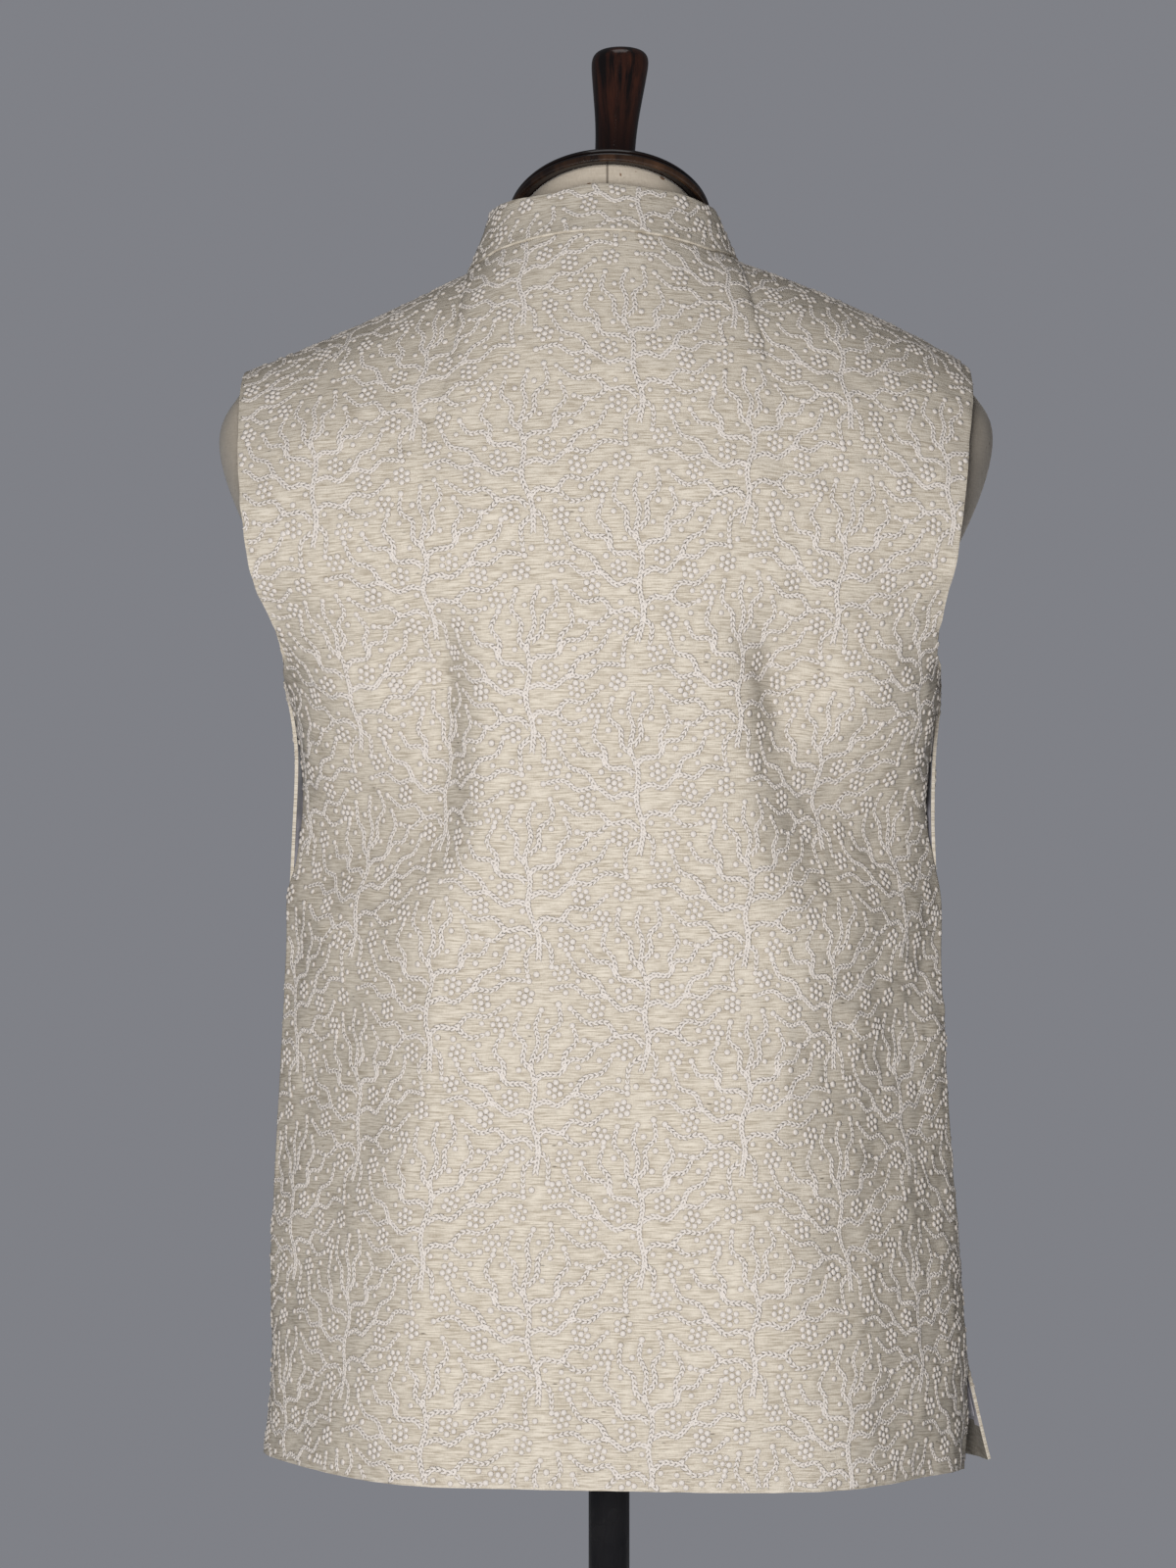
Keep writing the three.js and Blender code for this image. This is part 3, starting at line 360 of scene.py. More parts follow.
def points_of(piece):
    """A piece's vertices as an array, in millimetres."""
    flat = np.empty(len(piece.data.vertices) * 3)
    piece.data.vertices.foreach_get("co", flat)
    return flat.reshape(-1, 3) / MM


def set_points(piece, points):
    piece.data.vertices.foreach_set("co", (np.asarray(points) * MM).ravel())
    piece.data.update()


def on_cap(angle, reach, above):
    """A point of the cap: angle 0 at the centre back, a share of its reach, and a height above it."""
    c = np.cos(angle)
    out = -np.where(c > 0, CAP["back"], CAP["front"]) * reach * c
    across = CAP["half_width"] * (1 - CAP["taper"] * np.maximum(0, -c)) * reach * np.sin(angle)
    tilt = CAP["tilt"]
    return np.stack([CAP["x"] + across,
                     CAP["y"] + out * math.cos(tilt) + above * math.sin(tilt),
                     CAP["z"] - out * math.sin(tilt) + above * math.cos(tilt)], axis=-1)


cap = turned("neck_plate", [(reach * WORK_RADIUS, up * CAP["thick"]) for reach, up in CAP_ROWS], 128)
worked = points_of(cap)
set_points(cap, on_cap(np.arctan2(worked[:, 0], -worked[:, 1]),
                       np.hypot(worked[:, 0], worked[:, 1]) / WORK_RADIUS, worked[:, 2]))
cap.data.materials.append(rim_wood)
cap.data.materials.append(bead_wood)
for face in cap.data.polygons:
    level = np.mean([worked[v][2] for v in face.vertices])
    face.material_index = 1 if level < BEAD_TOP * CAP["thick"] and len(face.vertices) == 4 else 0
smooth_faces(cap, 50)
place(cap, "form_wood", "neck_cap")


# The finial
# A turned handle of the same hardwood, flared and domed at the top and thick with polish. Its foot
# is cut to the slope of the cap, and it leans a little to the wearer's right.
FINIAL = {"x": 1.8, "y": 20, "lean": math.tan(math.radians(3.2)), "above_cap": 15.9}
FINIAL_ROWS = [(14.4, 1500), (14.5, 1504), (14.4, 1508), (12.7, 1511), (12.0, 1516), (11.8, 1525),
               (12.1, 1536), (13.0, 1547), (14.6, 1559), (16.2, 1571), (17.0, 1578), (16.6, 1582.5),
               (14.2, 1585.8), (10, 1587.6), (5, 1588.3)]
FINIAL_COLOURS = {"dark": (0.006, 0.004, 0.004), "warm": (0.075, 0.023, 0.012)}
# How much of the foot's slope is left in the row above it
SLOPE_LEFT = 0.65
# Its red-brown fades to near black towards the foot: painted light on the flare and painted shade low down
finial_wood = polished_wood("dark finial wood", FINIAL_COLOURS, (1.515, 1.565), (0.15, 1.0), 110.0)
finial = turned("finial_handle", FINIAL_ROWS, 48)
worked = points_of(finial)
seat = on_cap(np.array(0.0), 0, FINIAL["above_cap"])
foot_row, second_row = [np.abs(worked[:, 2] - z) < 0.1 for _, z in FINIAL_ROWS[:2]]
worked[:, 1] += FINIAL["y"]
sloped = seat[2] - (worked[:, 1] - seat[1]) * math.tan(CAP["tilt"])
worked[foot_row, 2] = sloped[foot_row]
worked[second_row, 2] = (1 - SLOPE_LEFT) * FINIAL_ROWS[2][1] + SLOPE_LEFT * sloped[second_row]
worked[:, 0] += FINIAL["x"] + (worked[:, 2] - seat[2]) * FINIAL["lean"]
set_points(finial, worked)
finish_with(finial, "SUBSURF", levels=2, render_levels=2)
smooth_faces(finial)
finial.data.materials.append(finial_wood)
place(finial, "form_wood", "finial")


# The worn shape
# Every cloth piece is cut to one shape, the way that the waistcoat hangs on this form: a boxy body,
# shoulders that rest on the form, soft troughs below the armholes and a vent that opens at the right.
HEM_Z, VENT_TOP_Z, UNDERARM_Z, SHOULDER_TIP_Z, NECK_SIDE_Z = 760, 822, 1213, 1396, 1454
CLOTH, SEAM_GAP = 2.0, 0.3
NECK = {"half_width": 78, "share": 0.44, "reach": {"back": -68, "front": 78},
        "rise": {"back": 14, "front": -62}}
SHOULDER_HALF_WIDTH = 210
# Above the underarm the section widens by a share of the height, and the armhole's edge flares
ARM = {"width": 235, "widens_by": 0.35, "widens": 1.15, "flare": 3, "edge": 6}
ARM_DENT = {"depth": 6.5, "at": 0.07, "width": 0.09, "starts": 0.05}
VENT = {"flare": {1: 16, -1: 0.5}, "sag": {1: 5, -1: 0.5}, "opens": 1.2, "at_edge": 5}
ROUND_FULLNESS = 0.25
# Height, half width, and how far the cloth stands out at the back and at the front
SECTIONS = np.array([(760, 204, 132, 128), (870, 201, 126, 124), (985, 194.5, 118, 118),
                     (1075, 190, 114, 116), (1165, 187, 119, 122), (1213, 192, 124, 125)], float)
COLUMN = {"back": 2, "front": 3}
BOX = {"bow": 0.1, "slope": 2.0, "hem_bend": 0.65, "bend": 0.57, "settled": 1000, "soft": 0.07, "edge": 40,
       "from": 1205, "by": 100}
BLADES = {"bow": 0.38, "eased": 0.5, "power": 2.4, "by": 0.25, "share": {"back": 1, "front": 0.5}}
# Which way a side faces, how full it is above the underarm, and how far its centre turns over
UPPER = {"back": (-1, 11, 55), "front": (1, 8, 50)}
SWAY = np.array([(760, 3.2), (805, 6), (855, 4.8), (930, 2.8), (1120, 2.6), (1195, 3.4), (1262, -3.6),
                 (1330, -4), (1396, -1.5), (1454, -3.2), (1500, -3.4)], float)
CROWN = {1: (6.5, 210), -1: (-4.5, 226)}
CROWN_FROM, CROWN_POWER = 0.8, 0.6
HEM_TILT = (3, 1075)
# side, half, start (x, z), end (x, z), depth, and the widths towards the centre and the side seam
FOLDS = [
    ("back", 1, (95, 1250), (126, 1100), 22, 30, 52),
    ("back", -1, (102, 1252), (120, 1096), 21, 25, 56),
    ("back", -1, (186, 1098), (148, 1036), -4, 12, 14),
    ("back", 1, (122, 1066), (190, 1092), -4, 22, 22),
    ("front", 1, (96, 1240), (124, 1070), 9, 14, 32),
    ("front", -1, (92, 1246), (128, 1064), 8, 14, 30),
    # shallow creases, and a broad swell, that only the dressed cloth has
    ("back", 1, (64, 1236), (90, 1090), -2, 13, 13),
    ("back", -1, (66, 1236), (86, 1090), -1.6, 13, 13),
    ("back", 1, (96, 1085), (92, 935), -0.9, 3, 6),
    ("back", 1, (70, 1020), (66, 770), -7, 40, 34),
    ("back", -1, (100, 1050), (112, 930), -1.2, 7, 9),
    ("back", -1, (176, 1120), (120, 1066), -1.3, 7, 9),
    ("back", 1, (178, 1180), (136, 1120), -1.4, 9, 10),
]
# A fold starts a little before its start and ends past its end, and grows wider on its way
FOLD_ENDS = {"before": 0.12, "rise": 0.35, "until": 1.2, "fall": 0.5}
FOLD_WIDENS = (0.75, 1.25)


def eased(x):
    x = np.clip(x, 0, 1)
    return x * x * (3 - 2 * x)


def between(a, b, share):
    return a + (b - a) * share


def from_rows(rows, column, z):
    """The value of a column at height z, on a smooth curve through the rows."""
    heights, values = rows[:, 0], rows[:, column]
    i = np.clip(np.searchsorted(heights, z) - 1, 0, len(rows) - 2)
    step = np.diff(values) / np.diff(heights)
    wide = (values[2:] - values[:-2]) / (heights[2:] - heights[:-2])
    slopes = np.concatenate([step[:1], wide, step[-1:]])
    span = heights[i + 1] - heights[i]
    t = (z - heights[i]) / span
    s = 1 - t
    return (values[i] * s * s * (1 + 2 * t) + values[i + 1] * t * t * (3 - 2 * t)
            + slopes[i] * span * t * s * s - slopes[i + 1] * span * t * t * s)


def rounded(s):
    """How far a round section reaches at a share of its half width."""
    return np.sqrt(np.maximum(1 - s ** 2, 0)) * (1 + ROUND_FULLNESS * s ** 2)


def squared(s, z):
    """The same for a boxy section: nearly flat, then straight to a pressed turn at its side edge."""
    bend_at = between(BOX["hem_bend"], BOX["bend"], eased((z - HEM_Z) / (BOX["settled"] - HEM_Z)))
    bend = BOX["soft"] * np.log1p(np.exp((s - bend_at) / BOX["soft"]))
    return (1 - BOX["bow"] * s ** 2 - BOX["slope"] * bend) * np.sqrt(np.maximum(1 - s ** BOX["edge"], 0))


def flattened(s, t):
    """The same over the shoulder blades, flat from armhole to armhole and flatter towards the top."""
    return 1 - BLADES["bow"] * between(1, BLADES["eased"], t) * s ** BLADES["power"]


def even_shape(side, across, up):
    """The worn shape's right half before folds. across runs from 0 at the centre to 1 at the side, and
    up from 0 at the hem over 1 at the underarm to 2 at the top."""
    sign, bulge, centre_turn = UPPER[side]
    angle = across * math.pi / 2
    low_z = between(HEM_Z, UNDERARM_Z, np.minimum(up, 1))
    low_x = from_rows(SECTIONS, 1, low_z) * np.sin(angle)
    boxy = eased((BOX["from"] - low_z) / BOX["by"])
    low_s = np.sin(angle)
    low_y = (sign * from_rows(SECTIONS, COLUMN[side], low_z)
             * between(rounded(low_s), squared(low_s, low_z), boxy))
    t = np.clip(up - 1, 0, 1)
    neck_angle = np.minimum(across / NECK["share"], 1) * math.pi / 2
    beyond = np.clip((across - NECK["share"]) / (1 - NECK["share"]), 0, 1)
    top_x = NECK["half_width"] * np.sin(neck_angle) + beyond * (SHOULDER_HALF_WIDTH - NECK["half_width"])
    top_y = NECK["reach"][side] * np.cos(neck_angle)
    top_z = (NECK_SIDE_Z + NECK["rise"][side] * np.cos(neck_angle) ** 2
             - beyond * (NECK_SIDE_Z - SHOULDER_TIP_Z))
    turn = np.radians(between(centre_turn, 90, eased(across / NECK["share"])))
    rise = np.sin(turn * t) / np.sin(turn)
    fall = (np.cos(turn * t) - np.cos(turn)) / (1 - np.cos(turn))
    _, half_width, back, front = SECTIONS[-1]
    depth = {"back": back, "front": front}[side]
    dent = (ARM_DENT["depth"] * np.exp(-((t - ARM_DENT["at"]) / ARM_DENT["width"]) ** 2)
            * np.minimum(1, t / ARM_DENT["starts"]))
    x = (between(half_width * np.sin(angle), top_x, np.sin(t * math.pi / 2))
         + (ARM["flare"] * np.sin(math.pi * t) - dent) * across ** ARM["edge"])
    width = between(half_width, ARM["width"], np.minimum(1, t / ARM["widens_by"]) ** ARM["widens"])
    high_s = np.clip(x / width, 0, 1)
    flat = eased(t / BLADES["by"]) * BLADES["share"][side]
    reach = ((depth + bulge * np.sin(math.pi * t))
             * between(rounded(high_s), flattened(high_s, t), flat))
    high = np.stack([x, between(top_y, sign * reach, fall), between(UNDERARM_Z, top_z, rise)], axis=-1)
    low = np.stack([low_x, low_y, low_z + 0 * across], axis=-1)
    return np.where((up <= 1)[..., None], low, high)


def fold_depth(fold, x, z):
    _, _, (x0, z0), (x1, z1), depth, inner, outer = fold
    length = math.hypot(x1 - x0, z1 - z0)
    dx, dz = (x1 - x0) / length, (z1 - z0) / length
    along = ((x - x0) * dx + (z - z0) * dz) / length
    beside = -(x - x0) * dz + (z - z0) * dx
    ends = (eased((along + FOLD_ENDS["before"]) / FOLD_ENDS["rise"])
            * eased((FOLD_ENDS["until"] - along) / FOLD_ENDS["fall"]))
    width = np.where(beside < 0, inner, outer) * between(*FOLD_WIDENS, np.clip(along, 0, 1))
    return depth * ends * np.exp(-(beside / width) ** 2)


def settled(points):
    """The even shape moved to where the uneven form holds it: swayed, fuller at the right shoulder."""
    x, y, z = points[..., 0], points[..., 1], points[..., 2]
    rise_by, reach_to = [np.where(x < 0, CROWN[-1][k], CROWN[1][k]) for k in (0, 1)]
    start = CROWN_FROM * NECK["half_width"]
    along = np.clip((np.abs(x) - start) / (reach_to - start), 0, 1)
    height = eased((z - UNDERARM_Z) / (SHOULDER_TIP_Z - UNDERARM_Z))
    low = eased((HEM_TILT[1] - z) / (HEM_TILT[1] - HEM_Z))
    rise = (rise_by * height * (4 * along * (1 - along)) ** CROWN_POWER
            - HEM_TILT[0] * low * x / SHOULDER_HALF_WIDTH)
    return np.stack([x + from_rows(SWAY, 1, z), y, z + rise], axis=-1)


def worn_shape(side, across, up):
    """Points of the worn shape; across runs from -1 at the wearer's left seam to 1 at the right one."""
    half = np.where(across < 0, -1, 1)
    points = even_shape(side, np.abs(across), up)
    outward = np.stack([points[..., 0] / SECTIONS[0][1], points[..., 1] / SECTIONS[0][2],
                        0 * across], axis=-1)
    outward /= np.linalg.norm(outward, axis=-1, keepdims=True) + 1e-12
    for fold in FOLDS:
        if fold[0] == side:
            depth = fold_depth(fold, points[..., 0], points[..., 2]) * (half == fold[1])
            points = points - outward * depth[..., None]
    below = np.clip((VENT_TOP_Z - points[..., 2]) / (VENT_TOP_Z - HEM_Z), 0, None)
    open_by = below ** VENT["opens"] * np.abs(across) ** VENT["at_edge"]
    flare, sag = [np.where(half > 0, VENT[key][1], VENT[key][-1]) for key in ("flare", "sag")]
    if side == "front":
        points[..., 0] += flare * open_by
    else:
        points[..., 1] -= sag * open_by
        points[..., 2] -= sag * open_by
    points[..., 0] *= half
    return settled(points)


def outward_normals(grid):
    """Unit normals of a grid of points whose columns run to the viewer's right and rows upwards."""
    normals = np.cross(np.gradient(grid, axis=1), np.gradient(grid, axis=0))
    return normals / np.linalg.norm(normals, axis=-1, keepdims=True)


WAVES = 14


def ripples(points, wavelength, height, seed):
    """Soft uneven bumps: waves of about one length, added up in seeded directions."""
    source = np.random.default_rng(seed)
    total = np.zeros(points.shape[:-1])
    for _ in range(WAVES):
        way = source.normal(size=3)
        way /= np.linalg.norm(way)
        length = wavelength * source.uniform(0.7, 1.5)
        total += np.sin(points @ way * (2 * math.pi / length) + source.uniform(0, 2 * math.pi))
    return height * total / math.sqrt(WAVES / 2)


# The embroidery's chart
# Pale thread worked over the whole cloth before it was cut: a wavy stem with branching limbs as
# raised filled bands, knots at their tips, and round knot flowers between them. The right limbs are
# charted in millimetres, the left ones mirror them a little lower, and motifs lie half a drop apart.
MOTIF_WIDTH, MOTIF_HEIGHT, LEFT_DROP = 120, 123, 5
LIMBS = [
    [(2, -29), (7, -25), (16, -26), (23, -19), (33, -20), (41, -14)],
    [(17, -26), (24, -32), (31, -31)],
    [(2, -11), (8, -9), (15, -11), (24, -4), (34, -5), (42, 1), (51, 0)],
    [(24, -4), (29, 5), (38, 9), (42, 17)],
    [(2, 3), (6, 6), (15, 7), (20, 15), (28, 16), (32, 22)],
    [(17, 10), (17, 18), (22, 25), (20, 32)],
    [(2, 15), (6, 20), (6, 29), (12, 36), (11, 44)],
    [(2, -37), (7, -42), (7, -51)],
]
STEM = [(0, -48), (1.6, -34), (-1.4, -18), (1.4, -2), (-1.2, 12), (1.5, 24), (-1, 34), (0.5, 41)]
FLOWERS = [(17, -40), (-11, -39), (-29, -17), (29, -12), (-13, -7), (13, -2), (-48, 4), (-20, 36), (-8, 52)]
KNOTS = [(-2, -58), (6, -31), (15, -32), (-12, -26), (30, -24), (-5, -20), (-46, -8), (-39, -1),
         (-20, 0), (22, 1), (37, 3), (48, 6), (-35, 11), (-8, 9), (25, 11), (9, 17), (36, 16),
         (-31, 25), (-13, 24), (12, 29), (-5, 34), (5, 37)]
STITCH_PITCH, CURVE_STEPS = 2.65, 24
TIP_GAP, FLOWER_RADIUS = 2.9, 3.85
CHART_SHIFT = (15, 38)
LIMB_TAPER, PETAL_SIZE, PETALS = 0.82, 0.97, 6


def curve_through(points, pitch):
    """Places at an even pitch on a smooth curve through the points, with the curve's direction."""
    padded = np.array([points[0], *points, points[-1]], float)
    fine = []
    for a, b, c, d in zip(padded, padded[1:], padded[2:], padded[3:]):
        t = np.linspace(0, 1, CURVE_STEPS, endpoint=False)[:, None]
        fine.append(0.5 * (2 * b + (c - a) * t + (2 * a - 5 * b + 4 * c - d) * t ** 2
                           + (3 * b - a - 3 * c + d) * t ** 3))
    line = np.vstack([*fine, padded[-1:]])
    run = np.concatenate([[0], np.cumsum(np.linalg.norm(np.diff(line, axis=0), axis=1))])
    places = np.linspace(0, run[-1], max(3, round(run[-1] / pitch)))
    found = np.stack([np.interp(places, run, line[:, k]) for k in (0, 1)], axis=1)
    ways = np.gradient(found, axis=0)
    return found, ways / np.linalg.norm(ways, axis=1, keepdims=True)


def charted():
    """The chart's repeat: links as rows of x, y, way x, way y, size, and knots as rows of x, y, size."""
    links, knots = [], []
    limbs = [[(side * x, y - LEFT_DROP * (side < 0)) for x, y in limb]
             for limb in LIMBS for side in (1, -1)]
    for limb in [*limbs, STEM]:
        found, ways = curve_through(limb, STITCH_PITCH)
        links.append(np.column_stack([found, ways, np.linspace(1.0, LIMB_TAPER, len(found))]))
        knots.append((*(found[-1] + ways[-1] * TIP_GAP), 1.0))
    for x, y in FLOWERS:
        petals = [(k * 2 * math.pi / PETALS + x, FLOWER_RADIUS) for k in range(PETALS)]
        knots += [(x + reach * math.cos(turn), y + reach * math.sin(turn), PETAL_SIZE)
                  for turn, reach in [*petals, (0, 0)]]
    knots += [(x, y, 1.0) for x, y in KNOTS]
    repeat = []
    for rows in (np.vstack(links), np.array(knots)):
        lower = rows.copy()
        lower[:, :2] += (MOTIF_WIDTH / 2, MOTIF_HEIGHT / 2)
        repeat.append(np.vstack([rows, lower]))
    return repeat


def wandered(places):
    """Places drifted by slow waves, as the frame's cloth stretches unevenly while it is worked."""
    x, y = places[:, 0], places[:, 1]
    return places + np.column_stack([2.2 * np.sin(y / 19 + x / 47) + 2.4 * np.sin(y / 43 - x / 70 + 1.3),
                                     1.8 * np.sin(x / 23 - y / 61 + 0.7) + 2.2 * np.sin(x / 51 + y / 90)])


def repeated(rows, low, high):
    """The chart's rows laid out over a flat box, in every repeat that touches it."""
    size = np.array((MOTIF_WIDTH, MOTIF_HEIGHT))
    first = np.floor((low - CHART_SHIFT) / size).astype(int) - 1
    last = np.ceil((high - CHART_SHIFT) / size).astype(int) + 1
    copies = []
    for column in range(first[0], last[0] + 1):
        for row in range(first[1], last[1] + 1):
            moved = rows.copy()
            moved[:, :2] += size * (column, row) + CHART_SHIFT
            copies.append(moved)
    found = np.vstack(copies)
    places = wandered(found[:, :2])
    if found.shape[1] > 3:
        found[:, 2:4] = wandered(found[:, :2] + found[:, 2:4]) - places
    found[:, :2] = places
    inside = np.all((places > low) & (places < high), axis=1)
    return found[inside]


CHART_LINKS, CHART_KNOTS = charted()


# The cloth panels: back, fronts and collar
# Each is cut flat, embroidered, lined, and sewn and pressed into shape. A panel here is a grid of
# points on the worn shape; it is laid flat to find its cut, the chart is laid on the cut, and the
# stitches go back to the worn cloth. The stitches draw the cloth in a little where they lie.
PITCH, HALF_COLUMNS, TOP_ROWS = 2.75, 96, 100
# A cut is worked out on fewer rows and columns, and a stitch this near to it in millimetres is on it
CUT_ROWS, CUT_COLUMNS, ON_CUT = 48, 52, 0.02
# How deep a stitch draws the cloth in, how far around it, and how much of that seams hold back
DENT_UNDER_STITCH, DENT_REACH, DENT_HELD = 0.34, 2.3, 0.6
LINK_MARGIN, KNOT_MARGIN = 1.5, 1.9
# Wavelength, height and seed of the cloth's own unevenness
RIPPLES = [(52, 0.7, 3), (16, 0.3, 8)]
# Where a panel starts to be held by its side seam, and by its shoulder seam, and over how far
HELD = {"side": (0.93, 0.07), "below": 1.02, "shoulder": (1.45, 0.4)}
AT_SEAM = 1e-4


def quads(rows, columns):
    """The faces of a grid of points, as corner numbers."""
    index = np.arange(rows * columns).reshape(rows, columns)
    faces = np.stack([index[:-1, :-1], index[:-1, 1:], index[1:, 1:], index[1:, :-1]], axis=-1)
    return faces.reshape(-1, 4).tolist()


def add_mesh(name, points, faces):
    """A new piece from points in millimetres and its faces."""
    mesh = bpy.data.meshes.new(name)
    mesh.from_pydata((points.reshape(-1, 3) * MM).tolist(), [], faces)
    piece = bpy.data.objects.new(name, mesh)
    bpy.context.scene.collection.objects.link(piece)
    return piece


def grid_mesh(name, grid):
    return add_mesh(name, grid, quads(*grid.shape[:2]))


def lay_flat(grid, centre):
    """The cut of a panel, in millimetres: flattened, its centre line upright from 0, 0 at its foot."""
    rows = np.unique(np.linspace(0, grid.shape[0] - 1, CUT_ROWS).astype(int))
    columns = np.linspace(0, grid.shape[1] - 1, CUT_COLUMNS).astype(int)
    columns = np.unique(np.append(columns, centre))
    coarse = grid[np.ix_(rows, columns)]
    piece = grid_mesh("cut", coarse)
    piece.data.uv_layers.new(name="cut")
    pick(piece)
    bpy.ops.object.mode_set(mode="EDIT")
    bpy.ops.mesh.select_all(action="SELECT")
    bpy.ops.uv.unwrap(method="MINIMUM_STRETCH", margin=0)
    bpy.ops.object.mode_set(mode="OBJECT")
    count = len(piece.data.loops)
    corners, uv = np.empty(count, int), np.empty(count * 2)
    piece.data.loops.foreach_get("vertex_index", corners)
    piece.data.uv_layers["cut"].data.foreach_get("uv", uv)
    flat = np.empty((len(piece.data.vertices), 2))
    flat[corners] = uv.reshape(-1, 2)
    flat = flat.reshape(len(rows), len(columns), 2)
    bpy.data.meshes.remove(piece.data)

    def area(points):
        a, b = points[1:, 1:] - points[:-1, :-1], points[1:, :-1] - points[:-1, 1:]
        if points.shape[-1] == 2:
            return abs(np.sum(a[..., 0] * b[..., 1] - a[..., 1] * b[..., 0])) / 2
        return np.sum(np.linalg.norm(np.cross(a, b), axis=-1)) / 2

    flat *= math.sqrt(area(coarse) / area(flat))
    middle = list(columns).index(centre)
    foot, head = flat[0, middle], flat[-1, middle]
    way = (head - foot) / np.linalg.norm(head - foot)
    flat = (flat - foot) @ np.array([(way[1], way[0]), (-way[0], way[1])])
    fine_rows, fine_columns = np.arange(grid.shape[0]), np.arange(grid.shape[1])
    tall = np.stack([[np.interp(fine_rows, rows, flat[:, j, k]) for j in range(len(columns))]
                     for k in (0, 1)], axis=-1).transpose(1, 0, 2)
    return np.stack([[np.interp(fine_columns, columns, tall[i, :, k]) for i in range(len(fine_rows))]
                     for k in (0, 1)], axis=-1)


def nearest_distance(places, targets):
    tree = KDTree(len(targets))
    for k, (x, y) in enumerate(targets):
        tree.insert((x, y, 0), k)
    tree.balance()
    return np.array([tree.find((x, y, 0))[2] for x, y in places])


def spread_flat(flat):
    """The flat cut as a tree to look places up in, and each grid point's distance from its edge."""
    rows, columns = flat.shape[:2]
    corners = np.concatenate([flat.reshape(-1, 2), np.zeros((rows * columns, 1))], axis=1)
    lookup = BVHTree.FromPolygons(corners.tolist(), quads(rows, columns))
    rim = np.vstack([flat[0], flat[-1], flat[:, 0], flat[:, -1]])
    from_edge = nearest_distance(flat.reshape(-1, 2), rim).reshape(rows, columns)
    return lookup, from_edge


def looked_up(values, i, j, a, b):
    """Values of a grid at shares a and b of the way across and up its quads i, j."""
    if values.ndim > 2:
        a, b = a[:, None], b[:, None]
    return (values[i, j] * (1 - a) * (1 - b) + values[i, j + 1] * a * (1 - b)
            + values[i + 1, j] * (1 - a) * b + values[i + 1, j + 1] * a * b)


def kept_on(panel, rows, margin):
    """Those rows that lie on the panel and off its edge, with their quad and their place in it."""
    flat, columns = panel["flat"], panel["flat"].shape[1]
    kept, quads = [], []
    for k, (x, y) in enumerate(rows[:, :2]):
        hit = panel["lookup"].find_nearest((x, y, 0))
        if hit[3] < ON_CUT:
            kept.append(k)
            quads.append(divmod(hit[2], columns - 1))
    i, j = np.array(quads).T
    corner = flat[i, j]
    e_right, e_up = flat[i, j + 1] - corner, flat[i + 1, j] - corner
    area = e_right[:, 0] * e_up[:, 1] - e_right[:, 1] * e_up[:, 0]
    found = rows[kept]
    offset = found[:, :2] - corner
    a = (offset[:, 0] * e_up[:, 1] - offset[:, 1] * e_up[:, 0]) / area
    b = (e_right[:, 0] * offset[:, 1] - e_right[:, 1] * offset[:, 0]) / area
    clear = looked_up(panel["from_edge"], i, j, a, b) > margin
    return {"rows": found[clear], "i": i[clear], "j": j[clear], "a": a[clear], "b": b[clear],
            "right": e_right[clear], "up": e_up[clear], "area": area[clear]}


def make_panel(name, grid, centre, still):
    """Lays a panel flat, finds its stitches and draws the cloth in under them. still is 1 where a
    panel keeps its place, as along seams and over the shoulders, and 0 where it may ripple."""
    panel = {"name": name, "flat": lay_flat(grid, centre)}
    panel["lookup"], panel["from_edge"] = spread_flat(panel["flat"])
    low, high = panel["flat"].min(axis=(0, 1)), panel["flat"].max(axis=(0, 1))
    panel["links"] = kept_on(panel, repeated(CHART_LINKS, low, high), LINK_MARGIN)
    panel["knots"] = kept_on(panel, repeated(CHART_KNOTS, low, high), KNOT_MARGIN)
    flat_points = panel["flat"].reshape(-1, 2)
    worked = np.vstack([panel["links"]["rows"][:, :2], panel["knots"]["rows"][:, :2]])
    near = nearest_distance(flat_points, worked).reshape(grid.shape[:2])
    panel["near"] = np.exp(-(near / DENT_REACH) ** 2)
    moved = sum(ripples(grid, *row) for row in RIPPLES)
    shift = moved * (1 - still) - DENT_UNDER_STITCH * panel["near"] * (1 - DENT_HELD * still)
    panel["grid"] = grid + outward_normals(grid) * shift[..., None]
    panel["normals"] = outward_normals(panel["grid"])
    return panel


def stillness(across, up):
    """How far a place on a body panel is held: fully at the side and shoulder seams."""
    at_side, at_shoulder = [eased((value - HELD[seam][0]) / HELD[seam][1])
                            for value, seam in ((np.abs(across), "side"), (up, "shoulder"))]
    return np.clip(at_side * (up <= HELD["below"]) + at_shoulder, 0, 1)


def off_seams(grid, across, up, sign):
    """Draws a panel back from its side and shoulder seams by half the gap between two pieces."""
    on_side = (up <= 1) & (np.abs(across) > 1 - AT_SEAM)
    on_shoulder = (up > 2 - AT_SEAM) & (np.abs(across) >= NECK["share"] - AT_SEAM)
    grid[..., 1] += sign * SEAM_GAP / 2 * (on_side | on_shoulder)
    return grid


BODY_UPS = np.linspace(0, 1, round((UNDERARM_Z - HEM_Z) / PITCH) + 1)
TOP_UPS = 1 + np.linspace(0, 1, TOP_ROWS)[1:]
UPS = np.concatenate([BODY_UPS, TOP_UPS])
HALF_ACROSS = np.linspace(0, 1, HALF_COLUMNS)
# The fronts' overlap past the centre line, its columns, and half the step between their layers
OVERLAP, OVERLAP_COLUMNS, LAYER_STEP = 20, 8, 1.25

across, up = np.meshgrid(np.concatenate([-HALF_ACROSS[:0:-1], HALF_ACROSS]), UPS)
back_grid = off_seams(worn_shape("back", across, up), across, up, -1)
back = make_panel("back", back_grid, len(HALF_ACROSS) - 1, stillness(across, up))


def layer_share(x):
    """How much of the step between the two fronts a place near the centre line takes."""
    return eased((3 * OVERLAP - np.abs(x)) / (2 * OVERLAP))


HALVINGS = 30


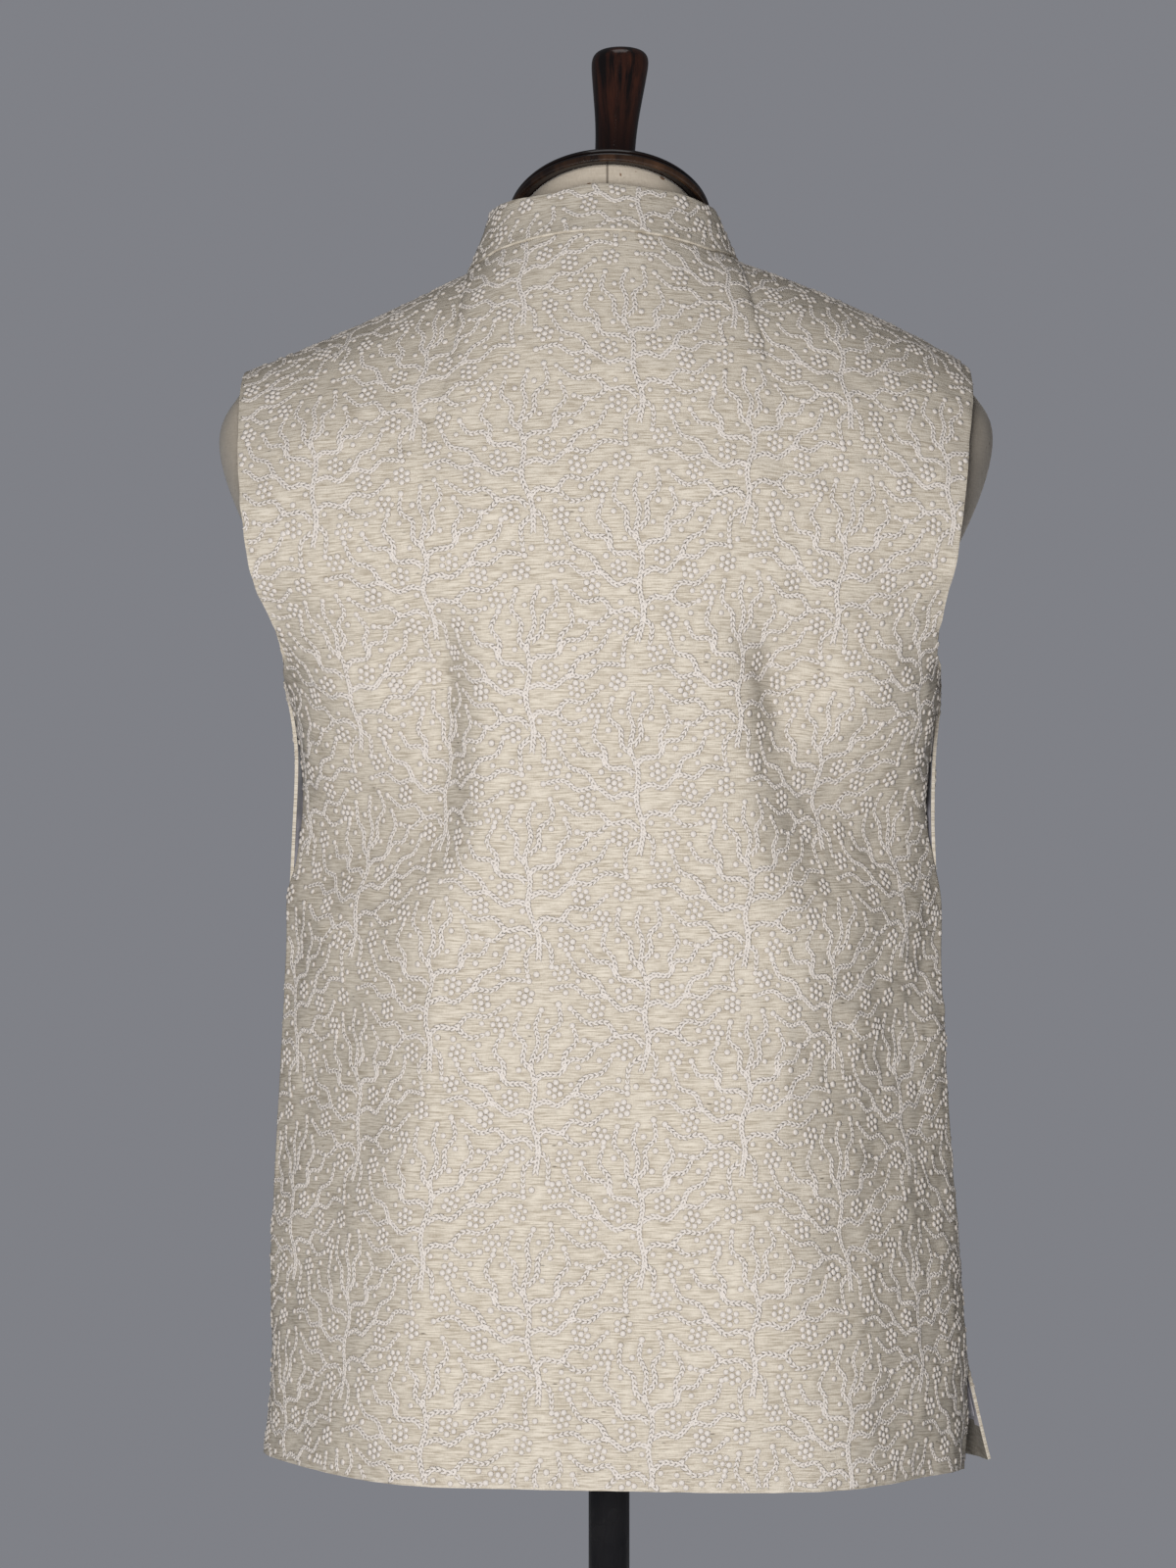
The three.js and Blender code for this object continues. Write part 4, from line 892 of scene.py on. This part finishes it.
def front_panel(name, half):
    """A front from its side seam over the centre line to its edge; the wearer's left one lies on top.
    Returned with the column of its centre line."""
    low, high = np.zeros(len(UPS)), np.full(len(UPS), NECK["share"])
    for _ in range(HALVINGS):
        middle = (low + high) / 2
        short = even_shape("front", middle, UPS)[:, 0] < OVERLAP
        low, high = np.where(short, middle, low), np.where(short, high, middle)
    beyond = np.outer(low, np.linspace(0, 1, OVERLAP_COLUMNS + 1)[1:])
    own = np.tile(HALF_ACROSS[::-1], (len(UPS), 1))
    across = np.hstack([own, -beyond]) * half
    if half < 0:
        across = across[:, ::-1]
    up = np.tile(UPS[:, None], (1, across.shape[1]))
    grid = off_seams(worn_shape("front", across, up), across, up, 1)
    step = LAYER_STEP * -half * layer_share(grid[..., 0])
    grid = grid + outward_normals(grid) * step[..., None]
    centre = int(np.argmin(np.abs(across[0])))
    return make_panel(name, grid, centre, stillness(across, up)), centre


front_left, left_centre = front_panel("front_left", -1)
front_right = front_panel("front_right", 1)[0]


# The stand collar is one band that follows the neckline from the centre front round the back
COLLAR_TOP = {"shift": -3, "half_width": 65.3, "back": 47, "front": 76, "side": 1489, "rise": 9, "drop": 61}
# Where the back of its top edge sags: at x, over a width, by so much
COLLAR_DIPS = [(-37, 17, 3.4), (-8, 8, -0.6), (24, 10, 0.8), (58, 14, 0.7)]
COLLAR_TURN = {"proud": 0.9, "over": 0.09}
COLLAR_HEIGHT, COLLAR_END_RADIUS, COLLAR_GAP, COLLAR_EASE = 36, 14, 3, 0.3
# How much of the cloth's unevenness its top edge takes, and how far below the neckline its foot starts
COLLAR_FREE, NECK_STEP = 0.5, 0.02
START = NECK["share"] * math.asin(COLLAR_GAP / 2 / NECK["half_width"]) * 2 / math.pi
ENDS_UP_TO = 0.05
round_front = np.concatenate([np.linspace(START, ENDS_UP_TO, 8),
                              np.linspace(ENDS_UP_TO, NECK["share"], 52)[1:]])


def neckline(side, across):
    """Points of the top edge of a side, its normals, and how far they are stepped near the front."""
    up = np.stack([np.full(len(across), level) for level in (2 - NECK_STEP, 2.0)])
    grid = worn_shape(side, np.tile(across, (2, 1)), up)
    normals = outward_normals(grid)[1]
    edge = grid[1]
    step = LAYER_STEP * layer_share(edge[:, 0]) if side == "front" else np.zeros(len(across))
    return edge, normals, step


round_back = np.linspace(-NECK["share"], NECK["share"], 76)[1:-1]
parts = [neckline("front", -round_front), neckline("back", round_back),
         neckline("front", round_front[::-1])]
edge, edge_normals, step = [np.concatenate(column) for column in zip(*parts)]
half_reach = np.where(edge[:, 1] < 0, -NECK["reach"]["back"], NECK["reach"]["front"])
around = np.arctan2((edge[:, 0] - from_rows(SWAY, 1, edge[:, 2])) / NECK["half_width"],
                    edge[:, 1] / half_reach)
c, s = np.cos(around), np.sin(around)
top = np.stack([COLLAR_TOP["shift"] + COLLAR_TOP["half_width"] * s,
                np.where(c < 0, COLLAR_TOP["back"], COLLAR_TOP["front"]) * c,
                COLLAR_TOP["side"] + np.where(c < 0, COLLAR_TOP["rise"], -COLLAR_TOP["drop"]) * c * c],
               axis=1)
for x, wide, lower in COLLAR_DIPS:
    top[:, 2] -= lower * np.exp(-((top[:, 0] - x) / wide) ** 2) * (c < 0)
rise = top - edge
rise /= np.linalg.norm(rise, axis=1, keepdims=True)
lift = SEAM_GAP + (CLOTH / 2 + step) * np.abs(np.sum(rise * edge_normals, axis=1)) + COLLAR_EASE
foot_line = edge + rise * lift[:, None]
from_end = np.abs(foot_line[:, 0] - (foot_line[0, 0] + foot_line[-1, 0]) / 2) - COLLAR_GAP / 2
inside = np.clip(COLLAR_END_RADIUS - from_end, 0, COLLAR_END_RADIUS)
drop = COLLAR_END_RADIUS - np.sqrt(COLLAR_END_RADIUS ** 2 - inside ** 2)
full = np.where(foot_line[:, 1] > 0, 1 - drop / COLLAR_HEIGHT, 1)
levels = np.linspace(0, 1, 15)[:, None, None]
collar_grid = foot_line + (top - foot_line) * levels * full[:, None]
collar_grid += outward_normals(collar_grid) * COLLAR_TURN["proud"] * np.exp(-levels / COLLAR_TURN["over"])
held = np.tile(1 - COLLAR_FREE * levels[..., 0], (1, collar_grid.shape[1]))
collar = make_panel("collar", collar_grid, collar_grid.shape[1] // 2, held)


# The cloth
# Slubbed silk and linen: a pale warp crossed by weft threads of uneven thickness and tone, which
# show as fine level streaks, with a dark nub here and there. It is lined with smooth grey satin,
# except where the hem is turned up, and there the inside is the same cloth painted dark as shade.
# The cloth beside the stitches and the satin in its fold hollows are painted darker as shade too.
CLOTH_COLOURS = {"pale": (0.70, 0.635, 0.54), "streak": (0.42, 0.36, 0.28), "nub": (0.10, 0.08, 0.06)}
# How dark and how strong the painted shade beside the stitches is, and how dark the turned-up hem's inside
# is painted as shade
STITCH_SHADE_TONE, STITCH_SHADE_SHARE, HEM_SHADE_TONE = 0.72, 0.42, 0.3
# The satin's own grey, and how dark it is painted in its fold hollows as shade
SATIN, SATIN_FOLD_SHADE = (0.38, 0.365, 0.4), 0.86
HEM_TURN, EDGE_ROUND = 20, 0.55

slub, slub_in, slub_out = new_group(
    "slub cloth",
    [("Pale", "Color", (0.7, 0.6, 0.5, 1)), ("Streak", "Color", (0.5, 0.4, 0.3, 1)),
     ("Nub", "Color", (0.1, 0.1, 0.1, 1))],
    [("Colour", "Color", None), ("Height", "Float", None)])
cut_place = add_node(slub, "UVMap", uv_map="cut").outputs["UV"]


def streaks(scale, detail, shift=0.0):
    return noise(slub, stretched(slub, cut_place, scale, shift), 1.0, detail, Roughness=0.6)


# Fine level streaks, broader ones and clouds, and the single threads, each with its own weight
fine_streak = streaks((85.0, 1150.0, 1.0), 3.0)
thread = streaks((1500.0, 420.0, 1.0), 1.0, 5.0)
total = maths(slub, "MULTIPLY", fine_streak, 1.2)
for layer, weight in ((streaks((16.0, 210.0, 1.0), 3.0, 3.0), 0.12),
                      (streaks((22.0, 30.0, 1.0), 2.0, 7.0), 0.09), (thread, 0.18)):
    total = maths(slub, "ADD", total, maths(slub, "MULTIPLY", layer, weight))
ground = mix_colours(slub, mapped(slub, total, 0.7, 0.98), slub_in["Pale"], slub_in["Streak"])
nub_cells = add_node(slub, "TexVoronoi", {
    "Vector": stretched(slub, cut_place, (150.0, 560.0, 1.0)), "Scale": 1.0}).outputs
chosen = maths(slub, "GREATER_THAN", add_node(
    slub, "SeparateColor", {"Color": nub_cells["Color"]}).outputs[0], 0.975)
nub_share = maths(slub, "MULTIPLY", chosen, mapped(slub, nub_cells["Distance"], 0.10, 0.30, 0.8, 0.0))
slub.links.new(mix_colours(slub, nub_share, ground, slub_in["Nub"]), slub_out["Colour"])
slub.links.new(maths(slub, "ADD", fine_streak, maths(slub, "MULTIPLY", thread, 0.7)), slub_out["Height"])


def toned(colour, share):
    return tuple(part * share for part in colour)


def woven(name, pale, streak, stitch_shade_share):
    """The slub cloth, with painted shade beside the stitches by a share."""
    material, tree, shader = new_material(name, Roughness=0.85, Sheen_Weight=0.04, Sheen_Roughness=0.4,
                                          Specular_IOR_Level=0.3)
    cloth = use_group(tree, slub, {"Pale": pale, "Streak": streak, "Nub": CLOTH_COLOURS["nub"]})
    near = add_node(tree, "Attribute", attribute_name="near_stitch").outputs["Fac"]
    # Painted shade: the colour is mixed towards a dark streak tone near the stitches
    fill(tree, shader, {
        "Base Color": mix_colours(tree, maths(tree, "MULTIPLY", near, stitch_shade_share), cloth["Colour"],
                                  toned(streak, STITCH_SHADE_TONE)),
        "Normal": bumped(tree, cloth["Height"], 0.45, 0.0006)})
    return material


face_cloth = woven("slub face cloth", CLOTH_COLOURS["pale"], CLOTH_COLOURS["streak"], STITCH_SHADE_SHARE)
# The turned-up hem's inside: the face cloth toned dark as painted shade
hem_shade_cloth = woven("turned-up hem cloth in painted shade", toned(CLOTH_COLOURS["pale"], HEM_SHADE_TONE),
                  toned(CLOTH_COLOURS["streak"], HEM_SHADE_TONE), 0.0)

satin, tree, shader = new_material("satin lining", Roughness=0.36, Sheen_Weight=0.35, Sheen_Roughness=0.3)
cut_uv = add_node(tree, "UVMap", uv_map="cut").outputs["UV"]
soft = noise(tree, stretched(tree, cut_uv, (46.0, 9.0, 1.0)), 1.0, 2.0)
twill = noise(tree, stretched(tree, cut_uv, (1400.0, 260.0, 1.0)), 1.0, 1.0)
# Painted shade: the satin is darker where its soft folds are low
fill(tree, shader, {
    "Base Color": ramp(tree, soft, [(0.3, toned(SATIN, SATIN_FOLD_SHADE)), (0.7, SATIN)]),
    "Normal": bumped(tree, twill, 0.2, 0.0002, Normal=bumped(tree, soft, 0.6, 0.002))})


def cloth_piece(panel, hem_turn=HEM_TURN):
    """A panel as a wall of cloth with a lined inside, its edges pressed but not sharp."""
    piece = grid_mesh(panel["name"] + "_cloth", panel["grid"])
    mesh = piece.data
    for material in (face_cloth, satin, hem_shade_cloth):
        mesh.materials.append(material)
    corners = np.empty(len(mesh.loops), int)
    mesh.loops.foreach_get("vertex_index", corners)
    cut = mesh.uv_layers.new(name="cut")
    cut.data.foreach_set("uv", (panel["flat"].reshape(-1, 2)[corners] * MM).ravel())
    near = mesh.attributes.new("near_stitch", "FLOAT", "POINT")
    near.data.foreach_set("value", panel["near"].ravel().astype(np.float32))
    finish_with(piece, "SOLIDIFY", thickness=CLOTH * MM, offset=0, use_even_offset=False,
                use_rim=True, material_offset=1, material_offset_rim=0)
    finish_with(piece, "BEVEL", width=EDGE_ROUND * MM, segments=2, limit_method="ANGLE",
                angle_limit=math.radians(65), loop_slide=False)
    # Inner faces below the hem's turn take the hem cloth, which is painted dark as shade
    for face in mesh.polygons:
        if face.material_index == 1:
            heights = [mesh.uv_layers["cut"].data[k].uv[1] for k in face.loop_indices]
            if sum(heights) / len(heights) < hem_turn * MM:
                face.material_index = 2
    smooth_faces(piece)
    place(piece, "cloth", panel["name"])
    return piece


back_cloth, left_cloth, right_cloth = [cloth_piece(panel) for panel in (back, front_left, front_right)]
collar_cloth = cloth_piece(collar, 0)


# The embroidery
# Silky off-white thread. Each link of a vine is a pair of slanted stitches that lie half over the
# next ones, so that a vine is a filled band, and each knot is a small domed coil. Both stand proud.
# The thread's top colour is its own; the darker foot colour is painted shade round each stitch and knot
THREAD_AND_FOOT_SHADE = {"top": (0.71, 0.655, 0.605), "foot": (0.38, 0.33, 0.275)}
# One slanted stitch: across its middle, along it, and up, in millimetres; then its faces
STITCH = np.array([(-2.7, 0, 0.25), (0, -1.2, 0), (2.7, 0, 0.25), (0, 1.2, 0), (-1.4, 0, 0.7),
                   (1.4, 0, 0.7)])
STITCH_FACES = [(0, 1, 4), (1, 2, 5), (1, 5, 4), (2, 3, 5), (3, 0, 4), (3, 4, 5), (0, 3, 2, 1)]
SLANT, SPLAY, SINK = math.radians(18), 0.8, 0.1
KNOT_SIDES, KNOT_RADIUS, KNOT_HEIGHT = 8, 1.92, 1.25
KNOT_SHOULDER = {"radius": 0.82, "height": 0.66}
# How uneven the stitches are in their direction and size, and how pale a link's and a knot's top is
JITTER, LINK_SIZES, KNOT_SIZES, LINK_SHINE, KNOT_SHINE = 0.07, (0.95, 1.05), (0.9, 1.1), 1.0, 0.62


def link_template():
    points, faces = [], []
    for side in (1, -1):
        turn = -side * SLANT
        c, s = math.cos(turn), math.sin(turn)
        spun = STITCH @ np.array([(c, s, 0), (-s, c, 0), (0, 0, 1)])
        spun[:, 1] += side * SPLAY
        faces += [tuple(k + len(points) * len(STITCH) for k in face) for face in STITCH_FACES]
        points.append(spun)
    return np.vstack(points), faces


def knot_template():
    angles = np.arange(KNOT_SIDES) * 2 * math.pi / KNOT_SIDES
    ring = np.stack([np.cos(angles), np.sin(angles), 0 * angles], axis=1)
    low = ring * KNOT_RADIUS
    shoulder = low * KNOT_SHOULDER["radius"] + (0, 0, KNOT_SHOULDER["height"] * KNOT_HEIGHT)
    points = np.vstack([low, shoulder, [(0, 0, KNOT_HEIGHT)]])
    n = KNOT_SIDES
    faces = [(k, (k + 1) % n, n + (k + 1) % n, n + k) for k in range(n)]
    faces += [(n + k, n + (k + 1) % n, 2 * n) for k in range(n)]
    return points, faces + [tuple(range(n - 1, -1, -1))]


silk, tree, shader = new_material("embroidery thread", Roughness=0.55, Sheen_Weight=0.08,
                                  Sheen_Roughness=0.35, Specular_IOR_Level=0.35)
lift_of = add_node(tree, "Attribute", attribute_name="lift").outputs["Fac"]
spot = own_place(tree)
uneven = maths(tree, "MULTIPLY", maths(tree, "SUBTRACT", noise(tree, spot, 60.0, 2.0), 0.5), 0.35)
# Painted shade: each stitch darkens from its top down to its foot by its lift
fill(tree, shader, {
    "Base Color": ramp(tree, maths(tree, "ADD", lift_of, uneven),
                       [(0.0, THREAD_AND_FOOT_SHADE["foot"]), (0.42, THREAD_AND_FOOT_SHADE["top"])]),
    "Normal": bumped(tree, noise(tree, spot, 1300.0, 2.0), 0.35, 0.0003)})


def on_cloth(panel, found):
    """Each found row's place on the cloth's face, with the cloth's two flat directions and normal."""
    grid = panel["grid"]
    quad = [found[key] for key in ("i", "j", "a", "b")]
    i, j = quad[:2]
    to_right, to_up = grid[i, j + 1] - grid[i, j], grid[i + 1, j] - grid[i, j]
    normal = looked_up(panel["normals"], *quad)
    normal /= np.linalg.norm(normal, axis=1, keepdims=True)
    right, up, area = found["right"], found["up"], found["area"][:, None]
    u_way = to_right * (up[:, 1:2] / area) - to_up * (right[:, 1:2] / area)
    v_way = -to_right * (up[:, 0:1] / area) + to_up * (right[:, 0:1] / area)
    return looked_up(grid, *quad) + normal * (CLOTH / 2 - SINK), u_way, v_way, normal


def sewn(name, panel, found, ways, sizes, template, faces, shine):
    """One mesh of a stitch repeated at places on a panel. shine is how far its top climbs from the painted
    shade at its foot towards the thread's pale colour.
    """
    origin, u_way, v_way, normal = on_cloth(panel, found)
    along = u_way * ways[:, 0:1] + v_way * ways[:, 1:2]
    along -= normal * np.sum(along * normal, axis=1, keepdims=True)
    along /= np.linalg.norm(along, axis=1, keepdims=True)
    beside = np.cross(normal, along)
    axes = np.stack([along, beside, normal], axis=1) * sizes[:, None, None]
    points = origin[:, None, :] + np.einsum("kt,ntc->nkc", template, axes)
    count, each = points.shape[:2]
    every = [tuple(int(v) + n * each for v in face) for n in range(count) for face in faces]
    piece = add_mesh(name, points, every)
    # How high each point stands, which sets its painted shade near the foot
    lift = piece.data.attributes.new("lift", "FLOAT", "POINT")
    lifts = np.tile(template[:, 2] / template[:, 2].max() * shine, count)
    lift.data.foreach_set("value", lifts.astype(np.float32))
    piece.data.materials.append(silk)
    smooth_faces(piece)
    place(piece, "cloth")
    return piece


LINK, LINK_FACES = link_template()
KNOT, KNOT_FACES = knot_template()
stitch_source = np.random.default_rng(21)


def embroidered(panel):
    """The panel's vines and knots, with the small unevenness of stitches made one after another."""
    links, knots = panel["links"], panel["knots"]
    link_rows, knot_rows = links["rows"], knots["rows"]
    jitter = stitch_source.normal(0, JITTER, (len(link_rows), 2))
    sizes = link_rows[:, 4] * stitch_source.uniform(*LINK_SIZES, len(link_rows))
    vines = sewn(panel["name"] + "_vines", panel, links, link_rows[:, 2:4] + jitter, sizes,
                 LINK, LINK_FACES, LINK_SHINE)
    turns = stitch_source.uniform(0, 2 * math.pi, len(knot_rows))
    sizes = knot_rows[:, 2] * stitch_source.uniform(*KNOT_SIZES, len(knot_rows))
    dots = sewn(panel["name"] + "_knots", panel, knots, np.column_stack([np.cos(turns), np.sin(turns)]),
                sizes, KNOT, KNOT_FACES, KNOT_SHINE)
    return [vines, dots]


for panel, cloth, size, area in ((back, back_cloth, (0.544, 0.765), 0.352),
                                 (front_left, left_cloth, (0.298, 0.746), 0.184),
                                 (front_right, right_cloth, (0.307, 0.755), 0.184),
                                 (collar, collar_cloth, (0.485, 0.0445), 0.0166)):
    embroidered(panel)


# The lining where the vent shows it
# A loose strip of the satin lining inside each front, beside the side seam and above the hem. The
# rest of the lining lies against the cloth and is seen as the walls' own inner face.
LINING = {"low": 785, "high": 899, "from": 0.66, "to": 0.985, "depth": 1.85, "thick": 0.6}
for name, half, owner in (("lining_left", -1, left_cloth), ("lining_right", 1, right_cloth)):
    strip_across = np.linspace(LINING["to"], LINING["from"], 26) * half
    if half < 0:
        strip_across = strip_across[::-1]
    strip_up = (np.linspace(LINING["low"], LINING["high"], 44) - HEM_Z) / (UNDERARM_Z - HEM_Z)
    across, up = np.meshgrid(strip_across, strip_up)
    strip = worn_shape("front", across, up)
    strip = strip - outward_normals(strip) * LINING["depth"]
    piece = grid_mesh(name + "_satin", strip)
    cut = piece.data.uv_layers.new(name="cut")
    for loop, corner in zip(piece.data.loops, cut.data):
        p = piece.data.vertices[loop.vertex_index].co
        corner.uv = (-p.y * half, p.z)
    piece.data.materials.append(satin)
    finish_with(piece, "SOLIDIFY", thickness=LINING["thick"] * MM, offset=0)
    smooth_faces(piece)
    place(piece, "lining", name)


# The buttons
# Five round buttons of pale horn with a raised rim and a dished middle, sewn through four holes
# to the front edge.
BUTTON = {"first": 1368, "step": 90, "count": 5, "lift": 0.7}
BUTTON_ROWS = [(8.2, 0), (8.8, 0.35), (9.0, 1.0), (9.0, 3.0), (8.75, 3.65), (8.2, 4.0), (7.6, 3.95),
               (7.0, 3.4), (6.3, 2.9), (4.5, 2.7), (1.5, 2.65)]
HOLE = {"radius": 0.75, "from_centre": 1.9, "depth": 12}
HOLE_TURNS = [math.pi / 4 + k * math.pi / 2 for k in range(4)]
HORN = [(0.3, (0.42, 0.34, 0.24)), (0.5, (0.66, 0.58, 0.46)), (0.72, (0.80, 0.75, 0.66))]
SEWING = [(0.3, (0.45, 0.40, 0.31)), (0.7, (0.72, 0.67, 0.56))]
SHANK = {"radius": 1.7, "depth": 1.5, "z": -0.1}
BAR = {"radius": 1.0, "z": 2.7, "shape": (1.9, 0.55, 0.45)}

horn, tree, shader = new_material("pale horn", Roughness=0.3, Coat_Weight=0.4, Coat_Roughness=0.12,
                                  IOR=1.54)
figure = noise(tree, stretched(tree, own_place(tree), (1.0, 0.4, 0.25)), 260.0, 5.0, Distortion=1.2)
wear = use_group(tree, marks, {"Smear size": 160.0, "Scratch size": 900.0})
fill(tree, shader, {"Base Color": ramp(tree, figure, HORN),
                    "Roughness": mapped(tree, wear["Smears"], 0.0, 1.0, 0.18, 0.42)})


def hole_place(turn):
    return HOLE["from_centre"] * math.cos(turn) * MM, HOLE["from_centre"] * math.sin(turn) * MM


pattern = turned("button_pattern", BUTTON_ROWS, 64)
for turn in HOLE_TURNS:
    pick(None)
    bpy.ops.mesh.primitive_cylinder_add(vertices=20, radius=HOLE["radius"] * MM, depth=HOLE["depth"] * MM,
                                        location=(*hole_place(turn), 2 * MM))
    drill = bpy.context.object
    finish_with(pattern, "BOOLEAN", operation="DIFFERENCE", object=drill, solver="EXACT")
    bpy.data.objects.remove(drill)
smooth_faces(pattern, 40)
pattern.data.materials.append(horn)

# The sewing: a shank under the button, and a bar of thread over each of two pairs of holes
pick(None)
bpy.ops.mesh.primitive_cylinder_add(vertices=16, radius=SHANK["radius"] * MM, depth=SHANK["depth"] * MM,
                                    location=(0, 0, SHANK["z"] * MM))
shank = bpy.context.object
strands = [shank]
for turn in HOLE_TURNS[::2]:
    middle = np.mean([hole_place(turn), hole_place(turn + math.pi / 2)], axis=0)
    bpy.ops.mesh.primitive_uv_sphere_add(segments=14, ring_count=8, radius=BAR["radius"] * MM,
                                         location=(*middle, BAR["z"] * MM))
    bar = bpy.context.object
    bar.scale = BAR["shape"]
    bar.rotation_euler = (0, 0, turn + 3 * math.pi / 4)
    strands.append(bar)
bpy.ops.object.select_all(action="DESELECT")
for strand_piece in strands:
    strand_piece.select_set(True)
bpy.context.view_layer.objects.active = shank
bpy.ops.object.transform_apply(location=True, rotation=True, scale=True)
bpy.ops.object.join()
smooth_faces(shank)
sewing, tree, shader = new_material("button thread", Roughness=0.6, Sheen_Weight=0.2)
twist = noise(tree, own_place(tree), 1800.0, 2.0)
fill(tree, shader, {"Base Color": ramp(tree, twist, SEWING), "Normal": bumped(tree, twist, 0.6, 0.0003)})
shank.data.materials.clear()
shank.data.materials.append(sewing)

centre_line = front_left["grid"][:, left_centre]
centre_normals = front_left["normals"][:, left_centre]
for k in range(BUTTON["count"]):
    z = BUTTON["first"] - k * BUTTON["step"]
    at = np.array([np.interp(z, centre_line[:, 2], centre_line[:, c]) for c in range(3)])
    facing = np.array([np.interp(z, centre_line[:, 2], centre_normals[:, c]) for c in range(3)])
    facing /= np.linalg.norm(facing)
    turn = Vector((0, 0, 1)).rotation_difference(Vector(facing)).to_matrix().to_4x4()
    turn.translation = Vector((at + facing * (CLOTH / 2 + BUTTON["lift"])) * MM)
    for source, name, slot in ((pattern, f"horn_button_{k + 1}", "button"),
                               (shank, f"button_thread_{k + 1}", "cloth")):
        piece = source.copy()
        piece.data = source.data.copy()
        piece.name = name
        bpy.context.scene.collection.objects.link(piece)
        piece.data.transform(turn)
        place(piece, slot, *([f"button_{k + 1}"] if source == pattern else []))
for source in (pattern, shank):
    bpy.data.objects.remove(source)


# The room
# A pale floor and a plain grey backdrop all round. A tall soft lamp stands on the camera's side, a
# little to its left, a broad one lights the garment's front from beyond it, and a weak one hangs
# above. The camera stands straight behind the garment's back at chest height.
BACKDROP = (0.214, 0.219, 0.242)
ROOM_LIGHT = 0.2
PAPER = [(0.3, (0.60, 0.60, 0.61)), (0.7, (0.62, 0.62, 0.63))]
# Each lamp's place, width and height, power, and whether polished pieces mirror it
LAMPS = [("key", (-0.16, -1.55, 1.12), (0.4, 1.5), 26.2, False),
         ("front key", (0.9, 3.0, 1.7), (1.5, 1.5), 60, False),
         ("top", (0, -0.3, 3.4), (1.2, 1.2), 3, True)]
pick(None)
bpy.ops.mesh.primitive_grid_add(x_subdivisions=4, y_subdivisions=4, size=7)
floor = bpy.context.object
floor.name = "studio_floor"
paper, tree, shader = new_material("pale floor", Roughness=0.85)
fill(tree, shader, {"Base Color": ramp(tree, noise(tree, own_place(tree), 3.0, 3.0), PAPER)})
floor.data.materials.append(paper)

# The backdrop is seen at its own grey, and lights the room with a share of it
world = bpy.data.worlds.new("studio")
bpy.context.scene.world = world
world.use_nodes = True
tree = world.node_tree
seen = tree.nodes["Background"]
fill(tree, seen, {"Color": BACKDROP})
lit = add_node(tree, "Background", {"Color": BACKDROP, "Strength": ROOM_LIGHT})
which = add_node(tree, "MixShader", {0: add_node(tree, "LightPath").outputs["Is Camera Ray"],
                                     1: lit.outputs[0], 2: seen.outputs[0]})
tree.links.new(which.outputs[0], tree.nodes["World Output"].inputs["Surface"])

AIM = Vector((0, 0, 1.12))
for name, location, size, power, glossy in LAMPS:
    lamp = bpy.data.lights.new(name, "AREA")
    lamp.shape = "RECTANGLE"
    lamp.size, lamp.size_y = size
    lamp.energy = power
    held_lamp = bpy.data.objects.new(name, lamp)
    held_lamp.location = location
    held_lamp.rotation_euler = (AIM - Vector(location)).to_track_quat("-Z", "Y").to_euler()
    held_lamp.visible_glossy = glossy
    held_lamp.visible_camera = False
    bpy.context.scene.collection.objects.link(held_lamp)

CAMERA = {"away": 2.5, "side": -0.01236, "height": 1.153, "lens": 97.83}
view = bpy.data.cameras.new("photo camera")
view.lens = CAMERA["lens"]
view.sensor_width = 36
camera = bpy.data.objects.new("photo camera", view)
camera.location = (CAMERA["side"], -CAMERA["away"], CAMERA["height"])
camera.rotation_euler = (math.pi / 2, 0, 0)
bpy.context.scene.collection.objects.link(camera)
bpy.context.scene.camera = camera
bpy.context.scene.view_settings.view_transform = "Standard"
